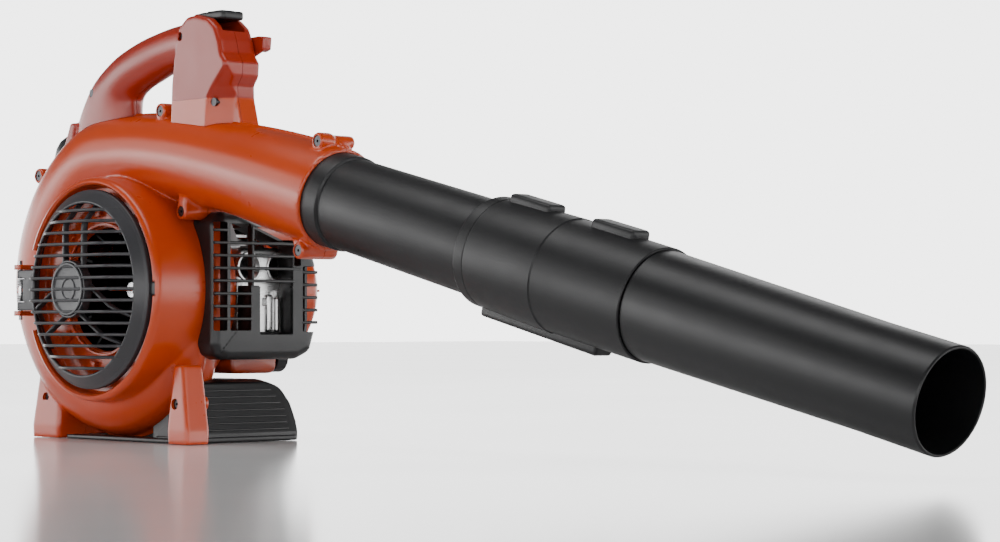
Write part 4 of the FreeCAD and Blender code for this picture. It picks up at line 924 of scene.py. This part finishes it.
def buildMuffler():
    low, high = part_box("muffler")
    y0, y1 = low.y, high.y
    mid = (y0 + y1) / 2
    boltZ, boltHalf = 0.140, 0.015
    body = softBox("muffler", low.x, high.x, y0, y1, low.z, high.z, 9 * mm, 6 * mm, "x")
    seamLip = softBox("seamLip", 0.0615, 0.0632, y0 + 0.0002, y1 - 0.0002, low.z + 0.0002, high.z - 0.0002,
        9 * mm, 0.4 * mm, "x")
    cuts, adds = [], []
    for side in (-1, 1):
        y = mid + side * boltHalf
        cuts.append(turned("well", profile(
            [(-34, 1e-3, 0), (-34, 7.6, 1), (-2.4, 7.8, 2.5), (0.2, 10.4, 0), (3, 10.4, 0), (3, 1e-3,
                0)], 1, 5),
            turnTo((high.x, y, boltZ), (1, 0, 0)), 64))
    combined(body, [seamLip], "UNION")
    # pressed louvres and windows in the front face
    for y, z, w, h in ((0.0395, 0.1065, 0.0022, 0.0040), (0.0440, 0.1065, 0.0022, 0.0040), (0.0385, 0.0960,
        0.0022, 0.0040),
                       (0.0430, 0.0960, 0.0022, 0.0040), (0.0590, 0.112, 0.0028, 0.0032), (0.0680, 0.1185,
                           0.0034, 0.0034)):
        cuts.append(softBox("slot", high.x - 0.004, high.x + 0.002, y - w, y + w, z - h, z + h, 0.0009, 0, "x"))
    for z0, z1, y, w in ((0.088, 0.118, 0.0625, 0.0032), (0.088, 0.116, 0.0705, 0.0022)):
        adds.append(softBox("louvre", high.x - 0.004, high.x + 0.0028, y - w, y + w, z0, z1, 0.002, 0.0018,
            "x"))
    for side in (-1, 1):
        y = mid + side * boltHalf
        adds.append(turned("flare", profile(
            [(-3, 10.2, 0), (0.9, 10.2, 0.6), (0.9, 12.2, 0.8), (-3, 13.2, 0)], 1, 4), turnTo((high.x, y,
                boltZ), (1, 0, 0)), 64))
    combined(body, adds, "UNION")
    combined(body, cuts, "DIFFERENCE")
    coloured(body, mufflerSteel, "root", ["muffler"], 35)


buildCover(cover)
buildMuffler()
print("muffler ready")


# stand, tank and cap
def buildStand():
    block = prism("block", profile(
        [(24, 0.4, 0.5), (87, 0.4, 2), (87, 7, 2), (76, 47, 4), (70, 50, 4), (24, 50,
            1)], 2, 5), -8.4 * mm, 92 * mm, "y", 2 * mm)
    shaper = prism("shaper", profile(
        [(-9, -1, 0), (92, -1, 0), (92, 10, 6), (88, 30, 14), (80, 43, 14), (62, 50, 20), (-9, 50.2,
            1)], 2, 6), 10 * mm, 95 * mm, "x")
    combined(block, [shaper], "INTERSECT")
    base = mmBox("base", -78, 66, -22, 88, 0, 3, 4, 0.8, "z")
    lip = mmBox("lip", 26, 88, -9, 92.5, 0, 4.5, 6, 1.2, "z")
    ribs = []
    for k in range(7):
        z = 9 + k * 5.2
        x = 87 - (z - 7) * 11 / 40
        ribs.append(mmBox("rib", x - 6, x + 0.35, -6.5, 82 - max(0, z - 24) * 0.7, z, z + 1.6, 0.5, 0.5, "x"))
    rear = prism("rear", profile([(-122, 0, 2), (-72, 0, 2), (-78, 40, 6), (-114, 40, 8)], 3, 5),
                 25 * mm, 90 * mm, "y", 3 * mm)
    clear = [channelSkin("clear", housing, 1.2), pin("drumClear", crank + Vector((0, -0.054, 0)),
        crank + Vector((0, 0.0295, 0)), 0.091, 0, 128)]
    combined(block, [base, lip, rear] + ribs, "UNION")
    combined(block, clear, "DIFFERENCE")
    block.name = "stand"
    coloured(block, blackPlastic, "root", ["stand"], 35)


def buildTank():
    low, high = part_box("fuel_tank")
    f = Finish("smokedRedTank", Roughness=0.24, IOR=1.5, Transmission_Weight=0.25, Specular_IOR_Level=0.5)
    murk = f.noise(30.0, 4.0)
    f.feed(Base_Color=f.mix(murk, rgb(0.32, 0.028, 0.006), rgb(0.52, 0.07, 0.015)))
    f.feed(Normal=f.bump(f.noise(420.0, 2.0), 0.12, 0.0003))
    tank = softBox("fuelTank", low.x, high.x, low.y, high.y - 0.008, low.z, high.z, 8 * mm, 3.5 * mm, "x")
    weld = softBox("weld", low.x + 0.001, high.x, low.y, high.y - 0.008, 0.0662, 0.0678, 0.7 * mm, 0.4 * mm,
        "x")
    capLow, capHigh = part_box("fuel_cap")
    c = (capLow + capHigh) / 2
    neck = pin("neck", (c.x, high.y - 0.011, c.z), (c.x, high.y, c.z), 9 * mm, 0.5 * mm)
    combined(tank, [weld, neck], "UNION")
    coloured(tank, f.material, "root", ["fuel_tank"], 35)
    cap = turned("fuelCap", profile(
        [(0, 9.2, 0.3), (0, 12.3, 0.8), (10.5, 12.3, 1.8), (12, 10.4, 0.8), (11.2, 8.8, 0.6), (11.2, 1e-3, 0),
            (8.4, 1e-3, 0), (8.4, 9.2, 0.3)], 1, 4),
        turnTo((c.x, capLow.y, c.z), (0, 1, 0)), 144, True,
        lambda s, a: -0.0006 * max(0.0, math.cos(a * 18)) if 0.0012 < s < 0.0098 else 0.0)
    bar = softBox("capBar", c.x - 0.0022, c.x + 0.0022, capLow.y + 0.0105, capHigh.y, c.z - 0.0085,
        c.z + 0.0085, 1 * mm, 0.8 * mm, "y")
    coloured(joined("fuelCap", [cap, bar]), blackPlastic, "cap", ["fuel_cap"], 40)


buildStand()
buildTank()
print("stand and tank ready")


# engine side: starter, hood, filter
def slotRing(center, radius, count, half, reach, y0, y1):
    made = []
    for k in range(count):
        slot = softBox("slot", -half, half, y0, y1, radius - reach, radius + reach, half * 0.8, 0, "y")
        slot.data.transform(Matrix.Translation(center) @ Matrix.Rotation(2 * math.pi * k / count, 4, "Y"))
        made.append(slot)
    return made


def buildStarter():
    low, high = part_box("starter_housing")
    y0, y1, r = low.y / mm, high.y / mm, 58.0
    shell = turned("starterHousing", profile(
        [(y0, r, 0.6), (y0 + 6, r, 0.4), (y0 + 6.6, r - 0.8, 0.4), (y1 - 10, r - 0.8, 9), (y1 - 2.2, r - 9, 5),
            (y1 - 2.2, 22, 1.5),
         (y1, 20, 1.2), (y1, 1e-3, 0), (y1 - 3, 1e-3, 0), (y1 - 5.2, 22, 3), (y1 - 5.2, r - 13, 6), (y1 - 11,
             r - 3.6, 6), (y0, r - 3, 0.6)],
        1, 6), aroundCrank, 160)
    cuts = slotRing(crank, 45 * mm, 18, 2.2 * mm, 5.5 * mm, (y1 - 12) * mm, (y1 + 3) * mm)
    cuts += slotRing(crank, 30 * mm, 12, 2.2 * mm, 4.5 * mm, (y1 - 12) * mm, (y1 + 3) * mm)
    combined(shell, cuts, "DIFFERENCE")
    lugs = []
    for angle in (30, 150, 210, 330):
        t = math.radians(angle)
        c = Vector((57.4 * mm * math.cos(t), 0, crank.z + 57.4 * mm * math.sin(t)))
        lug = turned("lug", profile(
            [(y0, 2.4, 0), (y0, 6, 0.4), (y0 + 12, 5.6, 1.2), (y0 + 12, 2.4, 0.2)], 0.5, 4),
            Matrix.Translation(c) @ Matrix.Rotation(math.radians(90), 4, "Z"), 40)
        lugs.append(lug)
    room = crankPin("room", y0 - 1, y0 + 14, r - 3.2, 0, 96)
    for lug in lugs:
        combined(lug, [room], "DIFFERENCE", keep=True)
    bpy.data.objects.remove(room)
    ribs = []
    for k in range(6):
        rib = mmBox("rib", -0.9, 0.9, y1 - 3.0, y1 - 1.4, 21, 51, 0.8, 0.5, "y")
        rib.data.transform(Matrix.Translation(crank) @ Matrix.Rotation(2 * math.pi * (k + 0.5) / 6, 4, "Y"))
        ribs.append(rib)
    ropeLow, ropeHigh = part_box("starter_rope")
    x, y = (ropeLow.x + ropeHigh.x) / 2, (ropeLow.y + ropeHigh.y) / 2
    eyelet = turned("eyelet", profile(
        [(-6, 2.2, 0), (-6, 7.5, 1), (6, 6.2, 0.5), (11, 6.0, 1.5), (11, 3.6, 1.2), (8, 2.2, 1)], 0.5, 4),
        turnTo((x, y, crank.z + 49 * mm), (0, 0, 1)), 48)
    post = crankPin("post", 121, y1 - 2.5, 5, 0.4)
    piece = joined("starterHousing", [shell, eyelet, post] + lugs + ribs)
    coloured(piece, orange, "root", ["starter_housing"], 35)


def buildHood():
    low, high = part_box("cylinder_cover")
    x0, x1, y0, y1, z0, z1 = low.x, high.x, low.y, high.y, low.z, high.z
    hood = softBox("hood", x0, x1, y0, y1, z0, z1, 12 * mm, 3 * mm, "x")
    room = softBox("room", x0 - 0.01, x1 + 0.01, y0 + 1.6 * mm, y1 - 2.4 * mm, z0 - 0.03, z1 - 2.4 * mm,
        9.5 * mm, 0, "x")
    cuts = [room]
    for k in range(5):
        x = (-32 + k * 14) * mm
        cuts.append(softBox("vent", x, x + 6 * mm, 50 * mm, 76 * mm, z1 - 6 * mm, z1 + 4 * mm, 2.9 * mm, 0,
            "z"))
    cuts += [pin("starterClear", crank + Vector((0, 0.080, 0)), crank + Vector((0, 0.12, 0)), 0.0595, 0, 96),
             channelSkin("clear", housing, 0.8)]
    combined(hood, cuts, "DIFFERENCE")
    ribs = [softBox("rib", x * mm, (x + 1.6) * mm, 54 * mm, 84 * mm, z1 - 1.2 * mm, z1 - 0.1 * mm, 0.5 * mm,
        0.4 * mm, "y") for x in (-36.4, 34.6)]
    coloured(joined("cylinderCover", [hood] + ribs), orange, "root", ["cylinder_cover"], 35)


def buildFilterCover():
    low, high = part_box("air_filter_cover")
    y0, y1, z0, z1 = low.y / mm, high.y / mm, low.z / mm, high.z / mm

    def blob(name, x0, shrink, sides=48, rows=26):
        # a box whose corners swell softly towards the rear
        rings = []
        for k in range(rows + 1):
            t = k / rows
            x = x0 + (-96.3 - x0) * t
            swell = (1 - (1 - min(1, t * 1.6)) ** 2.6) ** (1 / 2.6)
            swell = 0.72 + 0.28 * swell
            cy, cz = (y0 + y1) / 2, (z0 + z1) / 2
            hy, hz = (y1 - y0) / 2 - shrink, (z1 - z0) / 2 - shrink
            ring = []
            for i in range(sides):
                a = 2 * math.pi * i / sides
                u, v = math.cos(a), math.sin(a)
                fat = (abs(u) ** 4.2 + abs(v) ** 4.2) ** (-1 / 4.2)
                ring.append(Vector((x, cy + hy * swell * u * fat, cz + hz * swell * v * fat)) * mm)
            rings.append(ring)
        return lofted(name, rings)
    cover = blob("filterCover", low.x / mm, 0.0)
    room = blob("filterRoom", low.x / mm + 3.0, 3.0)
    room.data.transform(Matrix.Translation((0.002, 0, 0)))
    cuts = [room, channelSkin("clear", housing, 0.8), pin("bossClear", (-0.122, -0.03, 0.219), (-0.122, 0.0212,
        0.219), 0.0074),
            pin("scrollClear", (0, 0, crank.z), (0, 0.043, crank.z), 0.1536, 0, 128)]
    for z in (192, 201, 210, 219, 228):
        cuts.append(softBox("vent", -0.176, -0.150, 0.052, 0.088, z * mm, (z + 3.6) * mm, 1.7 * mm, 0, "x"))
    knobLow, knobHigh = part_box("filter_knob")
    k = (knobLow + knobHigh) / 2
    cuts.append(pin("knobWay", (-0.18, k.y, k.z), (-0.14, k.y, k.z), 3.3 * mm, 0, 48))
    combined(cover, cuts, "DIFFERENCE")
    coloured(cover, blackPlastic, "root", ["air_filter_cover"], 38)
    dial = turned("dial", profile(
        [(-10.4, 1e-3, 0), (-10.4, 3.0, 0.2), (0, 3.0, 0), (0, 9.0, 0.8), (4.4, 8.2, 1.2), (4.4, 1e-3,
            0)], 0.5, 4),
        turnTo((-0.1664, k.y, k.z), (-1, 0, 0)), 96, True, lambda s, a: -0.0004 * max(0,
            math.cos(a * 16)) if 0.0006 < s < 0.0036 else 0)
    wing = softBox("wing", knobLow.x, -0.1700, k.y - 7.8 * mm, k.y + 7.8 * mm, k.z - 1.6 * mm, k.z + 1.6 * mm,
        1.4 * mm, 0.8 * mm, "x")
    coloured(joined("filterKnob", [dial, wing]), blackPlastic, "knob", ["filter_knob"], 38)


def buildGripAndRope():
    low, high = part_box("starter_grip")
    c = (low + high) / 2
    bar = softBox("bar", low.x, high.x, low.y, high.y, low.z + 10 * mm, high.z, 6.4 * mm, 4.5 * mm, "x")
    neck = turned("neck", profile([(0, 1e-3, 0), (0, 5.6, 1), (3, 6, 2), (12, 8.5, 2), (16, 9, 0), (16, 1e-3,
        0)], 1, 5),
                  turnTo((c.x, c.y, low.z), (0, 0, 1)), 48)
    grip = softened(joined("gripSolid", [bar, neck]), 0.8 * mm, 6)
    hollow = pin("ropeHole", (c.x, c.y, low.z - 0.002), (c.x, c.y, low.z + 0.001), 2.0 * mm, 0, 32)
    combined(grip, [hollow], "DIFFERENCE")
    grip.name = "starterGrip"
    coloured(grip, blackPlastic, "grip", ["starter_grip"], 50)
    ropeLow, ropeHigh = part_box("starter_rope")
    x, y = (ropeLow.x + ropeHigh.x) / 2, (ropeLow.y + ropeHigh.y) / 2
    strands = []
    steps = 72
    for s in range(4):
        rings = []
        for k in range(steps + 1):
            z = ropeLow.z + (ropeHigh.z - ropeLow.z) * k / steps
            a = 2 * math.pi * (s / 4 + 7 * k / steps)
            cx, cy = x + 0.8 * mm * math.cos(a), y + 0.8 * mm * math.sin(a)
            rings.append([Vector((cx + 0.85 * mm * math.cos(2 * math.pi * i / 10),
                cy + 0.85 * mm * math.sin(2 * math.pi * i / 10), z))
                          for i in range(10)])
        strands.append(lofted("strand", rings))
    rope = joined("starterRope", strands)
    rope.data.materials.append(ropeWeave)
    rope.data.shade_smooth()
    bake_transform(rope)
    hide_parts("starter_rope")


def buildLevers():
    low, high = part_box("cruise_lever")
    cx, cz = 110.0, 312.0
    y0 = high.y - 8.6 * mm
    arm = prism("arm", profile(
        [(cx - 8, cz - 8, 8), (cx + 8, cz - 7, 4), (cx + 22, cz - 2, 2), (cx + 23, cz + 8, 2), (cx + 15, cz + 9,
            4), (cx - 8, cz + 8, 8)], 2, 6),
        y0, y0 + 4.0 * mm, "y", 1.1 * mm)
    thumb = prism("thumb", profile([(cx + 15, cz - 4), (cx + 22, cz - 2), (cx + 23, cz + 8), (cx + 16, cz + 9)],
        1.6, 5),
                  y0 + 1 * mm, high.y, "y", 1.4 * mm)
    stem = pin("stem", (cx * mm, low.y, cz * mm), (cx * mm, y0 + 1 * mm, cz * mm), 3.5 * mm, 0.3 * mm)
    coloured(joined("cruiseLever", [arm, thumb, stem]), handleOrange, "cruise", ["cruise_lever"],
        35)
    bulbLow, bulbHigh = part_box("primer_bulb")
    c = (bulbLow + bulbHigh) / 2
    bulb = turned("primerBulb", profile(
        [(0, 1e-3, 0), (0, 6.3, 0.3), (4.6, 6.3, 0.4), (5.4, 5.6, 0.4), (6.4, 5.9, 0.5), (9.5, 5.0, 2.2), (11.6,
            2.4, 2), (11.7, 1e-3, 0)], 1, 5),
        turnTo((c.x, bulbLow.y, c.z), (0, 1, 0)), 64)
    coloured(bulb, clearBulb, "primer", ["primer_bulb"], 50)


def weaveFinish():
    f = Finish("nylonRope", Sheen_Weight=0.3, Specular_IOR_Level=0.3)
    braid = f.add("ShaderNodeTexWave", dict(wave_type="BANDS", bands_direction="DIAGONAL"),
        {"Vector": f.place(), "Scale": 420.0, "Distortion": 1.2, "Detail": 2.0})
    f.feed(Base_Color=f.mix(braid, rgb(0.035, 0.034, 0.032), rgb(0.14, 0.135, 0.13)))
    f.feed(Roughness=braid * 0.2 + 0.6)
    f.feed(Normal=f.bump(braid, 0.6, 0.0004))
    return f.material


def clearFinish():
    f = Finish("softClearBulb", Roughness=0.12, IOR=1.45, Transmission_Weight=0.75)
    f.feed(Base_Color=f.mix(f.noise(90.0, 3.0), rgb(0.78, 0.74, 0.66), rgb(0.9, 0.88, 0.84)))
    f.feed(Normal=f.bump(f.noise(300.0, 2.0), 0.1, 0.0003))
    return f.material


def foamFinish():
    f = Finish("openFoam", Specular_IOR_Level=0.2)
    pores = f.cells(900.0)
    f.feed(Base_Color=f.mix(pores, rgb(0.01, 0.01, 0.01), rgb(0.07, 0.07, 0.07)))
    f.feed(Roughness=pores * 0.1 + 0.85)
    f.feed(Normal=f.bump(pores, 0.9, 0.0008))
    return f.material


ropeWeave = weaveFinish()
clearBulb = clearFinish()
foam = foamFinish()
blackSteel = metal("blackenedSteel", (0.075, 0.075, 0.08), 0.36, 0.2)
ceramic = mouldedPlastic("plugCeramic", (0.72, 0.70, 0.66), (0.62, 0.60, 0.56), 0.2, 0.05, 1200.0)
wheelAluminium = metal("turnedAluminium", (0.70, 0.70, 0.71), 0.34, 0.2, stretch=(1, 14, 1))
buildStarter()
buildHood()
buildFilterCover()
buildGripAndRope()
buildLevers()
print("engine side ready")


# finishes for the CAD pieces that stay
stays = dict(
    housing_screws=blackSteel, impeller=blackPlastic, impeller_nut=steel, crank_front_shaft=brightSteel,
    crank_rear_shaft=brightSteel, crank_throw=steel, connecting_rod=steel, piston=castAluminium,
    piston_pin=brightSteel, piston_ring=blackSteel, crankcase_front=castAluminium,
    crankcase_rear=castAluminium, main_bearings=brightSteel, cylinder=castAluminium, spark_plug=ceramic,
    plug_boot=rubber, muffler_gasket=gasketGrey, muffler_bolts=blackSteel, intake_insulator=blackPlastic,
    carburettor=castAluminium, throttle_arm=steel, filter_base=blackPlastic, air_filter=foam,
    choke_lever=blackPlastic, fuel_line=rubber, flywheel=wheelAluminium, starter_pawl=blackPlastic,
    ignition_module=blackPlastic, ignition_lead=rubber, starter_pulley=blackPlastic,
    recoil_spring=blackSteel, trigger_pin=steel, throttle_cable=rubber)
for name, material in stays.items():
    node = nodes[name]
    node.data.materials.clear()
    node.data.materials.append(material)

# studio
studio = dict(
    eye=(1.7867, -1.3085, 0.0942), look=(0.4745, -0.0519, 0.1300), lens=97.0, floor=9.0, horizon=4.2, dome=0.10,
    lights=[("softBoxLeft", (-1.9, -2.0, 1.1), (0.0, 0, 0.12), (1.8, 1.5), 16),
            ("softBoxTop", (0.2, -0.5, 2.3), (0.25, 0, 0.12), (2.6, 1.0), 26),
            ("softBoxRight", (2.4, 0.9, 1.3), (0.3, 0, 0.12), (0.6, 1.4), 8),
            ("softBoxBack", (-0.6, 2.4, 1.6), (0.2, 0, 0.12), (2.0, 1.0), 14)])


def buildStudio(s):
    sheet = bpy.data.meshes.new("floor")
    f = s["floor"]
    sheet.from_pydata([(-f, -f, -0.0004), (f, -f, -0.0004), (f, f, -0.0004), (-f, f, -0.0004)], [], [(0, 1, 2,
        3)])
    floor = linked("floor", sheet)
    pale = Finish("paleFloor", Specular_IOR_Level=0.6, Base_Color=rgb(0.93, 0.93, 0.93))
    pale.feed(Roughness=pale.noise(3.0, 2.0) * 0.04 + 0.12)
    sheet.materials.append(pale.material)
    cam = linked("camera", bpy.data.cameras.new("camera"))
    cam.location = s["eye"]
    cam.rotation_mode = "QUATERNION"
    cam.rotation_quaternion = (Vector(s["look"]) - Vector(s["eye"])).to_track_quat("-Z", "Y")
    cam.data.lens = s["lens"]
    cam.data.sensor_width = 36
    cam.data.clip_start = 0.05
    bpy.context.scene.camera = cam
    # the room is bright at the horizon and dim overhead, so glossy sides keep their contrast
    world = bpy.data.worlds.new("softRoom")
    bpy.context.scene.world = world
    world.use_nodes = True
    tree = world.node_tree
    spot = tree.nodes.new("ShaderNodeTexCoord")
    split = tree.nodes.new("ShaderNodeSeparateXYZ")
    tree.links.new(spot.outputs["Generated"], split.inputs[0])
    fade = tree.nodes.new("ShaderNodeMapRange")
    fade.interpolation_type = "SMOOTHSTEP"
    tree.links.new(split.outputs[2], fade.inputs[0])
    for i, value in ((1, 0.11), (2, 0.24), (3, s["horizon"]), (4, s["dome"])):
        fade.inputs[i].default_value = value
    tree.links.new(fade.outputs[0], tree.nodes["Background"].inputs[1])
    tree.nodes["Background"].inputs[0].default_value = (1, 1, 1, 1)
    for name, place, target, size, power in s["lights"]:
        light = bpy.data.lights.new(name, "AREA")
        light.shape = "RECTANGLE"
        light.size, light.size_y = size
        light.energy = power
        lamp = linked(name, light)
        lamp.location = place
        lamp.rotation_mode = "QUATERNION"
        lamp.rotation_quaternion = (Vector(target) - Vector(place)).to_track_quat("-Z", "Y")


buildStudio(studio)
print("studio ready")
